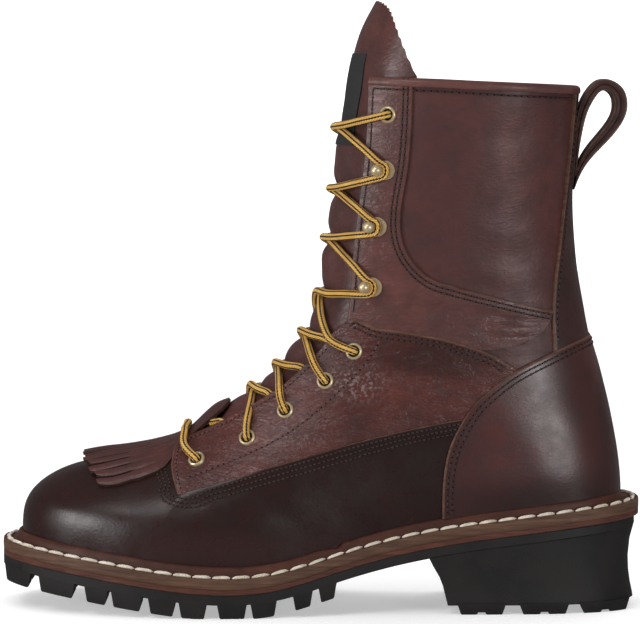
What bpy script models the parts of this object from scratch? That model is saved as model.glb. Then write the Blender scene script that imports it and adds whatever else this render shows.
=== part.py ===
"""Lace-up logger boot for the left foot: a lasted leather upper on a stitched welt and a lugged sole.

Sizes are in millimetres and the meshes are written in metres. The toe points to -X, the outer side of
the foot is -Y, and the boot stands on z = 0.
"""
import math

import bmesh
import bpy
import numpy as np

MM = 0.001

# Driving sizes of the sole
SOLE_FRONT = -153.0
SOLE_BACK = 153.0
SOLE_END_FLAT = 0.8
FIT_GAP = 0.3
WELT_THICK = 5.0
MIDSOLE_THICK = 2.3
OUTSOLE_THICK = 4.5
LUG_REACH = 19.3
LUG_DRAFT = 1.4
LUG_SIDE_DRAFT = 0.5
HEEL_LUG = 4.5

# Driving sizes of the upper and the pieces on it
LIP_HEIGHT = 4.5
LIP_TOP = 2.4
LIP_FOOT = 3.2
UPPER_WALL = 2.2
COUNTER_WALL = 1.8
COUNTER_GAP = 0.5
INSOLE_RISE = 2.0
INSOLE_GAP = 0.8
TONGUE_GAP = 0.8
TONGUE_WALL = 2.4
KILTIE_WALL = 1.8
KILTIE_GAP = 0.75
LOOP_HALF_WIDTH = 9.0
LACE_RADIUS = 1.75
EYELET_OUTER = 4.3
EYELET_HOLE = 2.8
EYELET_RISE = 0.9
HARDWARE_GAP = 0.5
HOOK_BASE = 4.7
HOOK_BASE_RISE = 0.9
HOOK_BALL = 2.8
HOOK_STEM = 1.4
HOOK_LEAN = 2.4
HOOK_REACH = 6.0

# Height of the welt's ledge along the boot: toe spring, ball, arch and heel seat
LEDGE = {
    "x": (-153.0, -120.0, -88.0, -60.0, -45.0, -23.0, -3.0, 12.0, 57.0, 98.0, 153.0),
    "z": (31.5, 27.0, 22.6, 19.4, 18.7, 20.1, 25.0, 29.6, 40.0, 45.7, 52.0),
}

# Swing of the last's centre line, towards the inner side at the toe
SWING = {
    "x": (-153.0, -115.0, -70.0, -25.0, 20.0, 65.0, 110.0, 153.0),
    "y": (9.5, 7.0, 2.8, -0.6, -2.6, -2.2, -0.6, 0.0),
}

# Fractions of a ring's length at which its half widths are given
STATIONS = (0.10, 0.35, 0.62, 0.87)
STATION_NAMES = ("toe", "ball", "waist", "heel")

# Sole outline seen from below
SOLE_RING = {"toe": 43.5, "ball": 55.5, "waist": 40.0, "heel": 38.5, "round": 2.5}

# Rings of the upper, from the lasted edge to the collar. Each runs from a front point on the toe,
# vamp, instep or shin to a back point on the heel. Half widths are at the stations, round is the
# exponent of the ring's ends, sag follows the ledge, and swing follows the centre line.
RING_COLUMNS = ("front_x", "front_z", "back_x", "back_z", "toe", "ball", "waist", "heel",
                "round", "sag", "swing")
RINGS = (
    (-142.8, 25.4, 141.8, 45.7, 36.5, 47.0, 32.5, 31.5, 2.5, 1.00, 1.00),
    (-143.3, 34.6, 142.2, 54.9, 37.0, 48.0, 33.5, 32.3, 2.5, 1.00, 1.00),
    (-142.5, 45.5, 141.8, 66.0, 37.0, 48.5, 35.0, 33.3, 2.5, 0.92, 1.00),
    (-137.0, 55.0, 140.6, 76.0, 34.5, 47.0, 35.5, 33.2, 2.5, 0.80, 1.00),
    (-122.0, 64.5, 138.8, 86.0, 27.5, 43.0, 35.8, 32.8, 2.45, 0.62, 0.95),
    (-98.0, 70.5, 136.6, 97.0, 25.5, 39.0, 36.3, 32.0, 2.4, 0.42, 0.85),
    (-70.0, 80.0, 134.0, 107.0, 25.5, 37.0, 36.6, 31.2, 2.35, 0.25, 0.70),
    (-43.0, 98.5, 131.0, 117.5, 25.0, 35.5, 36.6, 30.3, 2.3, 0.12, 0.50),
    (-21.5, 118.5, 127.4, 130.0, 24.5, 34.8, 36.2, 29.3, 2.3, 0.04, 0.30),
    (-7.5, 142.0, 124.2, 147.0, 24.5, 35.0, 36.2, 28.6, 2.3, 0.0, 0.15),
    (-2.0, 170.0, 120.8, 171.0, 25.2, 36.6, 38.0, 29.2, 2.3, 0.0, 0.0),
    (2.0, 200.0, 119.4, 196.0, 26.6, 39.0, 41.0, 31.0, 2.3, 0.0, 0.0),
    (5.6, 228.0, 120.6, 221.0, 28.0, 41.4, 43.8, 33.0, 2.3, 0.0, 0.0),
    (9.5, 256.5, 122.5, 247.0, 29.4, 43.6, 46.0, 34.8, 2.3, 0.0, 0.0),
)
LASTED_EDGE = 0.0
LIP_LEVEL = 1.0
COLLAR_LEVEL = len(RINGS) - 1.0

# Front edge of the facing seen from the side, from the first eyelet to the collar
THROAT_LEVEL = 5.55
THROAT_ANGLE = math.radians(16.0)
THROAT_EDGE = {
    "x": (-61.5, -38.0, -21.0, -2.5, 9.8, 13.6, 15.5, 19.0, 22.0, 23.4),
    "z": (80.6, 88.8, 101.4, 115.4, 128.8, 142.4, 164.0, 195.0, 222.0, 250.0),
}

# Top edge of the heel counter seen from the side, from the top of its upright front edge
COUNTER_EDGE = {"x": (70.5, 75.5, 84.6, 92.8, 108.7), "z": (91.0, 99.0, 107.0, 113.0, 120.5)}
COUNTER_TOP_LEVEL = 8.0

# Eyelets and hooks of one row seen from the side, from the vamp up
EYELETS = {"x": (-58.0, -34.2, -16.2, 2.6, 16.1, 32.0), "z": (71.7, 82.7, 95.7, 109.7, 123.7, 235.0)}
HOOKS = {"x": (25.0, 27.2, 31.0), "z": (154.0, 182.5, 209.0)}

# Half angle of the tongue round the shaft, by level, with its rounded tip above the collar
TONGUE = {
    "level": (5.3, 6.0, 6.6, 8.0, 10.0, 12.0, 13.0),
    "half_angle": (24.0, 38.0, 53.0, 61.0, 62.0, 65.0, 68.0),
}
TONGUE_TIP_RISE = 1.3
TONGUE_TIP_LEAN = 5.5

# Half width of the fringed flap along the vamp, its cross lines, its rounded front edge, and its slits
KILTIE = {"x": (-113.0, -106.0, -92.0, -80.0, -70.0), "half": (31.0, 32.5, 32.5, 31.5, 29.0)}
KILTIE_SLIT_END = -88.0
KILTIE_LINES = (-113.0, -106.0, -97.0, KILTIE_SLIT_END, -80.0, -70.0)
KILTIE_BOW = 9.0
KILTIE_STRIPS = 9
KILTIE_SLIT = 0.8

# Side profile of the pull loop: outside and inside of the folded strap
PULL_LOOP = {
    "outer_x": (119.8, 120.5, 121.9, 125.0, 129.4, 134.4, 140.0, 144.6, 146.3, 144.6, 139.6, 133.0, 127.6,
                125.0),
    "outer_z": (198.0, 214.0, 232.0, 242.5, 249.0, 251.8, 250.6, 246.5, 240.0, 232.5, 224.0, 216.0, 209.0,
                199.0),
    "inner_x": (124.4, 124.5, 125.6, 127.8, 131.2, 134.8, 139.2, 142.2, 143.2, 141.8, 137.6, 132.0, 127.6,
                125.0),
    "inner_z": (211.0, 220.0, 232.5, 240.6, 246.0, 248.6, 247.6, 244.6, 240.0, 234.0, 226.4, 219.4, 213.6,
                211.0),
}

# Lugs under the forefoot and the heel block, front and back of each
LUG_ROWS = {
    "front": (-147.0, -130.6, -111.0, -98.2, -80.6, -66.2, -48.2, -32.6, -12.8, -0.8),
    "back": (-132.2, -114.8, -99.6, -83.2, -67.6, -52.8, -34.0, -20.0, -3.2, 8.0),
}
SHANK = (18.0, 29.0, 40.0)
HEEL_FRONT = 52.5
HEEL_LUGS = {"front": (59.5, 90.5, 124.0), "back": (83.5, 116.5, 145.5)}
HEEL_LEVELS = {
    "z": (26.0, 14.0, HEEL_LUG),
    "front": (53.0, 56.8, 58.3),
    "back": (148.2, 147.6, 149.2),
    "inset": (0.8, 1.6, 1.2),
}
TREAD_COLUMNS = (-1.0, -0.42, -0.26, 0.26, 0.42, 1.0)
TREAD_LUG_COLUMNS = (0, 2, 4)

UPPER_LEVELS = (0.0, 1.0, 2.0, 2.6, 3.2, 3.8, 4.4, 5.0, THROAT_LEVEL, 6.2, 6.9, 7.6, 8.3, 9.0, 9.8,
                10.6, 11.4, 12.2, 13.0)
FRONT_CELLS = 6
SIDE_CELLS = 46


def smooth_curve(at, values):
    """Natural cubic spline through the points, straight beyond both ends."""
    at = np.asarray(at, float)
    values = np.asarray(values, float)
    count = len(at)
    gaps = np.diff(at)
    slopes = np.diff(values) / gaps
    matrix = np.eye(count)
    right = np.zeros(count)
    for i in range(1, count - 1):
        matrix[i, i - 1:i + 2] = gaps[i - 1], 2.0 * (gaps[i - 1] + gaps[i]), gaps[i]
        right[i] = 6.0 * (slopes[i] - slopes[i - 1])
    bend = np.linalg.solve(matrix, right)
    first_slope = slopes[0] - gaps[0] * bend[1] / 6.0
    last_slope = slopes[-1] + gaps[-1] * bend[-2] / 6.0

    def value(x):
        if x <= at[0]:
            return float(values[0] + first_slope * (x - at[0]))
        if x >= at[-1]:
            return float(values[-1] + last_slope * (x - at[-1]))
        i = int(np.searchsorted(at, x)) - 1
        far = (x - at[i]) / gaps[i]
        near = 1.0 - far
        bow = (near ** 3 - near) * bend[i] + (far ** 3 - far) * bend[i + 1]
        return float(near * values[i] + far * values[i + 1] + bow * gaps[i] ** 2 / 6.0)

    return value


ledge = smooth_curve(LEDGE["x"], LEDGE["z"])
raw_swing = smooth_curve(SWING["x"], SWING["y"])
ring_curves = {name: smooth_curve(range(len(RINGS)), [row[i] for row in RINGS])
               for i, name in enumerate(RING_COLUMNS)}


def end_shape(along, power):
    """Half width of a rounded outline of unit half width, at a fraction of its length."""
    return max(0.0, 1.0 - abs(2.0 * along - 1.0) ** power) ** (1.0 / power)


def half_widths(ring):
    """Half width of a ring along its length, through the four stations."""
    fullness = [ring[name] / end_shape(at, ring["round"]) for name, at in zip(STATION_NAMES, STATIONS)]
    curve = smooth_curve(STATIONS, fullness)
    return lambda along: end_shape(along, ring["round"]) * curve(along)


sole_half_width = half_widths(SOLE_RING)


def outline_half(x):
    return sole_half_width((x - SOLE_FRONT) / (SOLE_BACK - SOLE_FRONT))


# The swing is shifted so that the sole's outline is centred on y = 0
outline_steps = np.linspace(SOLE_FRONT, SOLE_BACK, 200)
inner_side = max(raw_swing(x) + outline_half(x) for x in outline_steps)
outer_side = min(raw_swing(x) - outline_half(x) for x in outline_steps)
swing_shift = (inner_side + outer_side) / 2.0


def swing(x, share=1.0):
    return share * raw_swing(x) - swing_shift


def fraction_at(angle, power):
    """Fraction of a ring's length at an angle round it: 0 at the front, pi at the back."""
    turn = math.cos(angle)
    return (1.0 - math.copysign(abs(turn) ** (2.0 / power), turn)) / 2.0


def sole_point(angle):
    along = fraction_at(angle, SOLE_RING["round"])
    x = SOLE_FRONT + (SOLE_BACK - SOLE_FRONT) * along
    side = -1.0 if math.sin(angle) >= 0.0 else 1.0
    return np.array((x, swing(x) + side * sole_half_width(along), ledge(x)))


def surface(level, angle):
    """Point on the outside of the upper: level up its rings, angle round them by the outer side."""
    ring = {name: curve(level) for name, curve in ring_curves.items()}
    along = fraction_at(angle, ring["round"])
    length = ring["back_x"] - ring["front_x"]
    x = ring["front_x"] + length * along
    side = -1.0 if math.sin(angle) >= 0.0 else 1.0
    y = swing(x, ring["swing"]) + side * half_widths(ring)(along)
    chord = ledge(ring["front_x"]) * (1.0 - along) + ledge(ring["back_x"]) * along
    rise = ring["front_z"] * (1.0 - along) + ring["back_z"] * along
    return np.array((x, y, rise + ring["sag"] * (ledge(x) - chord)))


def unit(vector):
    return vector / np.linalg.norm(vector)


def frame_at(level, angle):
    """Point on the upper with its backward, upward and outward directions."""
    step = 0.03
    back = surface(level, angle + step) - surface(level, angle - step)
    up = surface(level + step, angle) - surface(level - step, angle)
    out = unit(np.cross(back, up))
    back = unit(back)
    return surface(level, angle), back, np.cross(out, back), out


def lay(level, angle, height):
    """Point standing a height off the upper's outside."""
    point, _, _, out = frame_at(level, angle)
    return point + out * height


def solve(target, axes, guess):
    """Level and angle of the upper's point whose two named coordinates meet the target."""
    here = np.array(guess, float)
    step = 1e-3
    for _ in range(12):
        base = surface(*here)[axes]
        by_level = (surface(here[0] + step, here[1])[axes] - base) / step
        by_angle = (surface(here[0], here[1] + step)[axes] - base) / step
        move = np.linalg.solve(np.column_stack((by_level, by_angle)), target - base)
        here += np.clip(move, -0.4, 0.4)
    return here


search_grid = [(level, angle, surface(level, angle))
               for level in np.linspace(0.5, COLLAR_LEVEL, 40)
               for angle in np.linspace(0.06, math.pi - 0.06, 60)]


def on_side(x, z):
    """Level and angle of the upper's point seen from the outer side at x and z."""
    target = np.array((x, z))
    level, angle, _ = min(search_grid, key=lambda row: np.sum((row[2][[0, 2]] - target) ** 2))
    return solve(target, [0, 2], (level, angle))


def on_top(x, y):
    """Level and angle of the vamp's point seen from above at x and y."""
    target = np.array((x, y - swing(x)))
    mirrored = target[1] > 0.0
    rows = [row for row in search_grid if 1.5 < row[0] < 8.0]
    wanted = np.array((x, swing(x) - abs(target[1])))
    level, angle, _ = min(rows, key=lambda row: np.sum((row[2][:2] - wanted) ** 2))
    side = 2.0 * math.pi - angle if mirrored else angle
    return solve(np.array((x, y)), [0, 1], (level, side))


throat_points = [on_side(x, z) for x, z in zip(THROAT_EDGE["x"], THROAT_EDGE["z"])]
throat_curve = smooth_curve([THROAT_LEVEL] + [p[0] for p in throat_points],
                            [THROAT_ANGLE] + [p[1] for p in throat_points])


def throat_angle(level):
    """Angle of the facing's front edge, held where the throat ends on the vamp."""
    return throat_curve(max(level, THROAT_LEVEL))


def column_angles(level):
    """Angles round a ring: across the throat, then round the heel."""
    edge = throat_angle(level)
    front = np.linspace(-edge, edge, FRONT_CELLS, endpoint=False)
    sides = np.linspace(edge, 2.0 * math.pi - edge, SIDE_CELLS, endpoint=False)
    return np.concatenate((front, sides))


def finish(name, colour, roughness, metallic=0.0):
    material = bpy.data.materials.new(name)
    material.use_nodes = True
    shader = material.node_tree.nodes["Principled BSDF"]
    shader.inputs["Base Color"].default_value = (*colour, 1.0)
    shader.inputs["Roughness"].default_value = roughness
    shader.inputs["Metallic"].default_value = metallic
    return material


def make_piece(name, points, faces, material):
    """One named object from points in millimetres, with its faces turned outwards."""
    mesh = bpy.data.meshes.new(name)
    mesh.from_pydata([tuple(MM * float(c) for c in point) for point in points], [], faces)
    bm = bmesh.new()
    bm.from_mesh(mesh)
    loose = [vert for vert in bm.verts if not vert.link_faces]
    bmesh.ops.delete(bm, geom=loose, context="VERTS")
    bmesh.ops.recalc_face_normals(bm, faces=bm.faces)
    bm.to_mesh(mesh)
    bm.free()
    mesh.shade_smooth()
    mesh.set_sharp_from_angle(angle=math.radians(35.0))
    mesh.materials.append(material)
    piece = bpy.data.objects.new(name, mesh)
    bpy.context.scene.collection.objects.link(piece)
    return piece


def sheet(name, outer, inner, material, wraps=False, keep=lambda row, column: True):
    """Closed wall between two grids of points, with a rim round every cell that is left out."""
    rows = len(outer)
    columns = len(outer[0])
    points = [p for row in outer for p in row] + [p for row in inner for p in row]
    cells = {(r, c) for r in range(rows - 1) for c in range(columns if wraps else columns - 1) if keep(r, c)}
    faces = []
    for r, c in cells:
        after = (c + 1) % columns
        corners = ((r, c), (r, after), (r + 1, after), (r + 1, c))
        before = (c - 1) % columns if wraps else c - 1
        beside = ((r - 1, c), (r, after if wraps else c + 1), (r + 1, c), (r, before))
        top = [a * columns + b for a, b in corners]
        under = [i + rows * columns for i in top]
        faces.append(top)
        faces.append(under[::-1])
        for k, neighbour in enumerate(beside):
            if neighbour not in cells:
                faces.append((top[k], under[k], under[(k + 1) % 4], top[(k + 1) % 4]))
    return make_piece(name, points, faces, material)


def slab(name, stations, half, top, bottom, material):
    """Closed plate under the foot: half width, top and bottom worked out along its stations."""
    upper_face = []
    lower_face = []
    for x in stations:
        edges = [swing(x) + share * half(x) for share in (-1.0, 0.0, 1.0)]
        upper_face.append([(x, y, top(x)) for y in edges])
        lower_face.append([(x, y, bottom(x)) for y in edges])
    return sheet(name, upper_face, lower_face, material)


def tube(name, path, radius, material, sides=6):
    """Closed tube along a path of points."""
    points = []
    faces = []
    across = None
    for i, point in enumerate(path):
        run = unit(path[min(i + 1, len(path) - 1)] - path[max(i - 1, 0)])
        if across is None:
            across = np.cross(run, (0.0, 1.0, 0.2))
        across = unit(across - run * np.dot(across, run))
        other = np.cross(run, across)
        for k in range(sides):
            turn = 2.0 * math.pi * (k + 0.5) / sides
            points.append(point + radius * (math.cos(turn) * across + math.sin(turn) * other))
    for i in range(len(path) - 1):
        for k in range(sides):
            after = (k + 1) % sides
            a, b = i * sides, (i + 1) * sides
            faces.append((a + k, a + after, b + after, b + k))
    faces.append(tuple(range(sides))[::-1])
    faces.append(tuple(range((len(path) - 1) * sides, len(path) * sides)))
    return make_piece(name, points, faces, material)


def join(piece, other):
    """Join a second closed body to a piece with a union."""
    other.hide_render = True
    other.display_type = "WIRE"
    union = piece.modifiers.new("join", "BOOLEAN")
    union.operation = "UNION"
    union.object = other


def make_outsole(material):
    """Rubber sole moulded in one with its heel block, lugs drawn down from the cells of its tread."""
    stations = [SOLE_FRONT + SOLE_END_FLAT, -150.4]
    for front, back in zip(LUG_ROWS["front"], LUG_ROWS["back"]):
        stations += [front, back]
    stations += list(SHANK) + [HEEL_FRONT]
    heel_start = len(stations) - 1
    for front, back in zip(HEEL_LUGS["front"], HEEL_LUGS["back"]):
        stations += [front, back]
    stations += [150.0, SOLE_BACK - SOLE_END_FLAT]
    last = len(stations) - 1
    width = len(TREAD_COLUMNS)
    top_drop = WELT_THICK + MIDSOLE_THICK + 2.0 * FIT_GAP
    points = []
    faces = []

    def grid(rows, place):
        first = len(points)
        for x in rows:
            points.extend(place(x, share) for share in TREAD_COLUMNS)
        return [[first + i * width + j for j in range(width)] for i in range(len(rows))]

    def cross_face(drop):
        return lambda x, share: (x, swing(x) + share * outline_half(x), ledge(x) - drop)

    top = grid(stations, cross_face(top_drop))
    base = grid(stations, cross_face(top_drop + OUTSOLE_THICK))

    def heel_face(z, front, back, inset):
        stretch = (back - front) / (stations[last] - HEEL_FRONT)
        return lambda x, share: (front + (x - HEEL_FRONT) * stretch,
                                 swing(x) + share * (outline_half(x) - inset), z)

    heel = [base[heel_start:]]
    for row in zip(*HEEL_LEVELS.values()):
        heel.append(grid(stations[heel_start:], heel_face(*row)))

    def boundary(rows):
        sides = [row[-1] for row in rows[1:-1]]
        return rows[0] + sides + rows[-1][::-1] + [row[0] for row in rows[-2:0:-1]]

    def wall(upper_loop, lower_loop):
        count = len(upper_loop)
        for k in range(count):
            after = (k + 1) % count
            faces.append((upper_loop[k], upper_loop[after], lower_loop[after], lower_loop[k]))

    def cell(rows, i, j):
        return (rows[i][j], rows[i][j + 1], rows[i + 1][j + 1], rows[i + 1][j])

    def lug(corners, bottom):
        """Drawn block under a tread cell, tapered by its draft, upright at the sole's edge."""
        middle = np.mean([points[k] for k in corners], axis=0)
        first = len(points)
        for k in corners:
            x, y, _ = points[k]
            inward = LUG_SIDE_DRAFT if abs(y - swing(x)) > 0.9 * outline_half(x) else LUG_DRAFT
            new_x = x + math.copysign(LUG_DRAFT, middle[0] - x)
            new_y = y + math.copysign(inward, middle[1] - y)
            points.append((new_x, new_y, bottom(new_x)))
        wall(corners, range(first, first + 4))
        faces.append(tuple(range(first, first + 4)))

    for i in range(last):
        for j in range(width - 1):
            faces.append(cell(top, i, j))
    wall(boundary(top), boundary(base))
    lug_cells = {2 + 2 * k for k in range(len(LUG_ROWS["front"]))}
    for i in range(heel_start):
        for j in range(width - 1):
            if i in lug_cells and j in TREAD_LUG_COLUMNS:
                lug(cell(base, i, j), lambda x: max(0.0, ledge(x) - LUG_REACH))
            else:
                faces.append(cell(base, i, j))
    for above, below in zip(heel, heel[1:]):
        wall(boundary(above), boundary(below))
    for i in range(len(heel[-1]) - 1):
        for j in range(width - 1):
            if i % 2 == 1 and i < 2 * len(HEEL_LUGS["front"]) and j in TREAD_LUG_COLUMNS:
                lug(cell(heel[-1], i, j), lambda x: 0.0)
            else:
                faces.append(cell(heel[-1], i, j))
    return make_piece("outsole", points, faces, material)


def make_midsole(material):
    stations = np.linspace(SOLE_FRONT + SOLE_END_FLAT, SOLE_BACK - SOLE_END_FLAT, 32)
    top_drop = WELT_THICK + FIT_GAP
    return slab("midsole", stations, outline_half, lambda x: ledge(x) - top_drop,
                lambda x: ledge(x) - top_drop - MIDSOLE_THICK, material)


def make_insole(material):
    ring = {name: curve(LASTED_EDGE) for name, curve in ring_curves.items()}
    half = half_widths(ring)
    inset = UPPER_WALL + INSOLE_GAP
    front = ring["front_x"] + inset
    back = ring["back_x"] - inset
    stations = np.linspace(front + 1.0, back - 1.0, 30)
    return slab("insole", stations, lambda x: half((x - front) / (back - front)) - inset,
                lambda x: ledge(x) + INSOLE_RISE, lambda x: ledge(x) - WELT_THICK, material)


def make_welt(material):
    """Strip all round the boot: a flat ledge with a storm lip against the upper."""
    rows = []
    for angle in column_angles(LASTED_EDGE):
        foot = lay(LASTED_EDGE, angle, FIT_GAP)
        crest = lay(LIP_LEVEL, angle, FIT_GAP)
        rim = sole_point(angle)
        out = rim - foot
        out[2] = 0.0
        out = unit(out)

        def at(point, shift, rise):
            x, y, _ = point + out * shift
            return (x, y, ledge(x) + rise)

        rows.append((at(foot, 0.0, -WELT_THICK), at(crest, 0.0, LIP_HEIGHT), at(crest, LIP_TOP, LIP_HEIGHT),
                     at(crest, LIP_FOOT, 0.0), at(rim, 0.0, 0.0), at(rim, 0.0, -WELT_THICK)))
    sides = len(rows[0])
    points = [p for row in rows for p in row]
    faces = []
    for i in range(len(rows)):
        a, b = i * sides, ((i + 1) % len(rows)) * sides
        for k in range(sides):
            after = (k + 1) % sides
            faces.append((a + k, a + after, b + after, b + k))
    return make_piece("welt", points, faces, material)


def make_upper(material):
    outer = []
    inner = []
    for level in UPPER_LEVELS:
        angles = column_angles(level)
        outer.append([surface(level, angle) for angle in angles])
        inner.append([lay(level, angle, -UPPER_WALL) for angle in angles])
    throat_row = UPPER_LEVELS.index(THROAT_LEVEL)
    return sheet("upper", outer, inner, material, wraps=True,
                 keep=lambda row, column: row < throat_row or column >= FRONT_CELLS)


def make_counter(material):
    """Leather pocket round the heel, cut from two skins of the upper's own surface."""
    edge = [on_side(x, z) for x, z in zip(COUNTER_EDGE["x"], COUNTER_EDGE["z"])]
    edge.append((COUNTER_TOP_LEVEL, math.pi))
    start = edge[0][1]

    def reach(angle):
        """Root of the way round from the front edge to the back, which evens out the edge's bend."""
        return math.sqrt(max(0.0, (math.pi - abs(angle - math.pi) - start) / (math.pi - start)))

    top_edge = smooth_curve([reach(p[1]) for p in edge], [p[0] for p in edge])
    shares = np.linspace(0.0, 1.0, 13) ** 1.1
    outer_side = [start + (math.pi - start) * share for share in shares]
    angles = outer_side + [2.0 * math.pi - angle for angle in outer_side[-2::-1]]
    bottom = LIP_LEVEL + 0.1
    outer = []
    inner = []
    for share in np.linspace(0.0, 1.0, 9):
        places = [(bottom + (top_edge(reach(angle)) - bottom) * share, angle) for angle in angles]
        inner.append([lay(*place, COUNTER_GAP) for place in places])
        outer.append([lay(*place, COUNTER_GAP + COUNTER_WALL) for place in places])
    return sheet("heel_counter", outer, inner, material)


def make_tongue(material):
    """Wide leather tongue under the facings, with a rounded tip standing above the collar."""
    half_angle = smooth_curve(TONGUE["level"], np.radians(TONGUE["half_angle"]))
    first = TONGUE["level"][0]
    depth = UPPER_WALL + TONGUE_GAP
    outer = []
    inner = []
    for share in np.linspace(0.0, 1.0, 15):
        outer_row = []
        inner_row = []
        for across in np.linspace(-1.0, 1.0, 13):
            tip = COLLAR_LEVEL + TONGUE_TIP_RISE * (1.0 - abs(across) ** 2.6) - 0.15
            level = first + (tip - first) * share
            angle = half_angle(min(level, COLLAR_LEVEL)) * across
            above = max(0.0, level - COLLAR_LEVEL + 0.4)
            lean = np.array((TONGUE_TIP_LEAN * (above / TONGUE_TIP_RISE) ** 1.5, 0.0, 0.0))
            outer_row.append(lay(level, angle, -depth) + lean)
            inner_row.append(lay(level, angle, -depth - TONGUE_WALL) + lean)
        outer.append(outer_row)
        inner.append(inner_row)
    return sheet("tongue", outer, inner, material)


def make_kiltie(material):
    """Flap lying on the vamp, cut into strips at its front end."""
    half = smooth_curve(KILTIE["x"], KILTIE["half"])
    slit_row = KILTIE_LINES.index(KILTIE_SLIT_END)
    outer = []
    inner = []
    for line in KILTIE_LINES:
        strip = 2.0 * half(line) / KILTIE_STRIPS
        bow = KILTIE_BOW * (line - KILTIE_LINES[-1]) / (KILTIE_LINES[0] - KILTIE_LINES[-1])
        frames = []
        for k in range(KILTIE_STRIPS):
            left = -half(line) + k * strip
            for y in (left + (KILTIE_SLIT if k else 0.0), left + strip):
                x = line + bow * (y / half(line)) ** 2
                frames.append(frame_at(*on_top(x, swing(x) + y)))
        inner.append([point + out * KILTIE_GAP for point, _, _, out in frames])
        outer.append([point + out * (KILTIE_GAP + KILTIE_WALL) for point, _, _, out in frames])
    return sheet("kiltie", outer, inner, material,
                 keep=lambda row, column: row >= slit_row or column % 2 == 0)


def make_pull_loop(material):
    points = []
    for side in (-swing_shift - LOOP_HALF_WIDTH, -swing_shift + LOOP_HALF_WIDTH):
        points += [(x, side, z) for x, z in zip(PULL_LOOP["outer_x"], PULL_LOOP["outer_z"])]
        points += [(x, side, z) for x, z in zip(PULL_LOOP["inner_x"], PULL_LOOP["inner_z"])]
    count = len(PULL_LOOP["outer_x"])
    near_out, near_in, far_out, far_in = (k * count for k in range(4))
    faces = []
    for k in range(count):
        after = (k + 1) % count
        for a, b in ((near_out, near_in), (near_in, far_in), (far_in, far_out), (far_out, near_out)):
            faces.append((a + k, a + after, b + after, b + k))
    return make_piece("pull_loop", points, faces, material)


def make_eyelet(name, level, angle, material):
    """Turned brass ring seated on the facing."""
    point, back, up, out = frame_at(level, angle)
    middle = (EYELET_OUTER + EYELET_HOLE) / 2.0
    profile = ((EYELET_HOLE, 0.0), (EYELET_OUTER, 0.0), (middle + 0.3, EYELET_RISE),
               (EYELET_HOLE, EYELET_RISE - 0.3))
    segments = 10
    points = []
    faces = []
    for k in range(segments):
        turn = 2.0 * math.pi * k / segments
        spoke = math.cos(turn) * back + math.sin(turn) * up
        points += [point + spoke * radius + out * (HARDWARE_GAP + rise) for radius, rise in profile]
    sides = len(profile)
    for k in range(segments):
        a, b = k * sides, ((k + 1) % segments) * sides
        for i in range(sides):
            after = (i + 1) % sides
            faces.append((a + i, a + after, b + after, b + i))
    return make_piece(name, points, faces, material)


def make_hook(name, level, angle, material):
    """Ball hook: riveted base, stem leaning to the throat, ball at its end."""
    point, back, up, out = frame_at(level, angle)
    towards = -back if math.sin(angle) > 0.0 else back
    steps = ((0.0, 0.0, HOOK_BASE), (0.0, HOOK_BASE_RISE, HOOK_BASE),
             (0.0, HOOK_BASE_RISE + 0.1, HOOK_STEM), (0.1, 2.6, HOOK_STEM), (0.8, 4.0, HOOK_STEM),
             (1.4, 4.6, HOOK_BALL * 0.75), (HOOK_LEAN, HOOK_REACH, HOOK_BALL),
             (HOOK_LEAN + 1.4, HOOK_REACH + 0.9, HOOK_BALL * 0.75), (HOOK_LEAN + 2.1, HOOK_REACH + 1.4, 0.6))
    sides = 8
    points = []
    faces = []
    for shift, height, radius in steps:
        tilt = min(1.0, shift / HOOK_LEAN) * 0.9
        axis = unit(out * (1.0 - tilt * 0.4) + towards * tilt)
        first = unit(np.cross(up, axis))
        centre = point + towards * shift + out * (HARDWARE_GAP + height)
        for k in range(sides):
            turn = 2.0 * math.pi * k / sides
            points.append(centre + radius * (math.cos(turn) * first + math.sin(turn) * up))
    for i in range(len(steps) - 1):
        a, b = i * sides, (i + 1) * sides
        for k in range(sides):
            after = (k + 1) % sides
            faces.append((a + k, a + after, b + after, b + k))
    faces.append(tuple(range(sides))[::-1])
    faces.append(tuple(range(len(points) - sides, len(points))))
    return make_piece(name, points, faces, material)


eyelet_places = [on_side(x, z) for x, z in zip(EYELETS["x"], EYELETS["z"])]
hook_places = [on_side(x, z) for x, z in zip(HOOKS["x"], HOOKS["z"])]

# Heights of the lace's middle line off the upper's surface
OVER_EYELET = HARDWARE_GAP + EYELET_RISE + LACE_RADIUS + 1.2
OVER_EDGE = LACE_RADIUS + 0.7
OVER_TONGUE = 0.4
OVER_FLAP = KILTIE_GAP + KILTIE_WALL + LACE_RADIUS + 0.9
OVER_HOOK_BASE = HARDWARE_GAP + HOOK_BASE_RISE + LACE_RADIUS + 0.7
EDGE_CLEAR = math.radians(8.5)
UNDER_DROP = 0.25


def beside_edge(place):
    """Level of the facing's front edge nearest to an eyelet or hook."""
    point = surface(place[0], abs(place[1]))
    levels = np.linspace(THROAT_LEVEL, COLLAR_LEVEL, 150)
    return min(levels, key=lambda level: np.linalg.norm(surface(level, throat_angle(level)) - point))


def crossing_path(start, end, from_outside):
    """Middle line of one strand, from an eyelet or the edge beside it to the edge on the other side."""
    first = beside_edge(start) + (0.0 if from_outside else UNDER_DROP)
    last = beside_edge(end) - UNDER_DROP
    first_side = math.copysign(1.0, start[1])
    first_angle = first_side * throat_angle(first)
    last_angle = -first_side * (throat_angle(last) - EDGE_CLEAR)
    if from_outside:
        route = [(*start, OVER_EYELET), (first, first_angle, OVER_EDGE)]
    else:
        first_angle -= first_side * EDGE_CLEAR
        route = [(first, first_angle, OVER_TONGUE)]
    for share in (0.25, 0.5, 0.75, 1.0):
        level = first + (last - first) * share
        angle = first_angle + (last_angle - first_angle) * share
        height = max(OVER_TONGUE, route[-1][2] * (1.0 - share))
        route.append((level, angle, height))
    return [lay(*step) for step in route]


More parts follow.
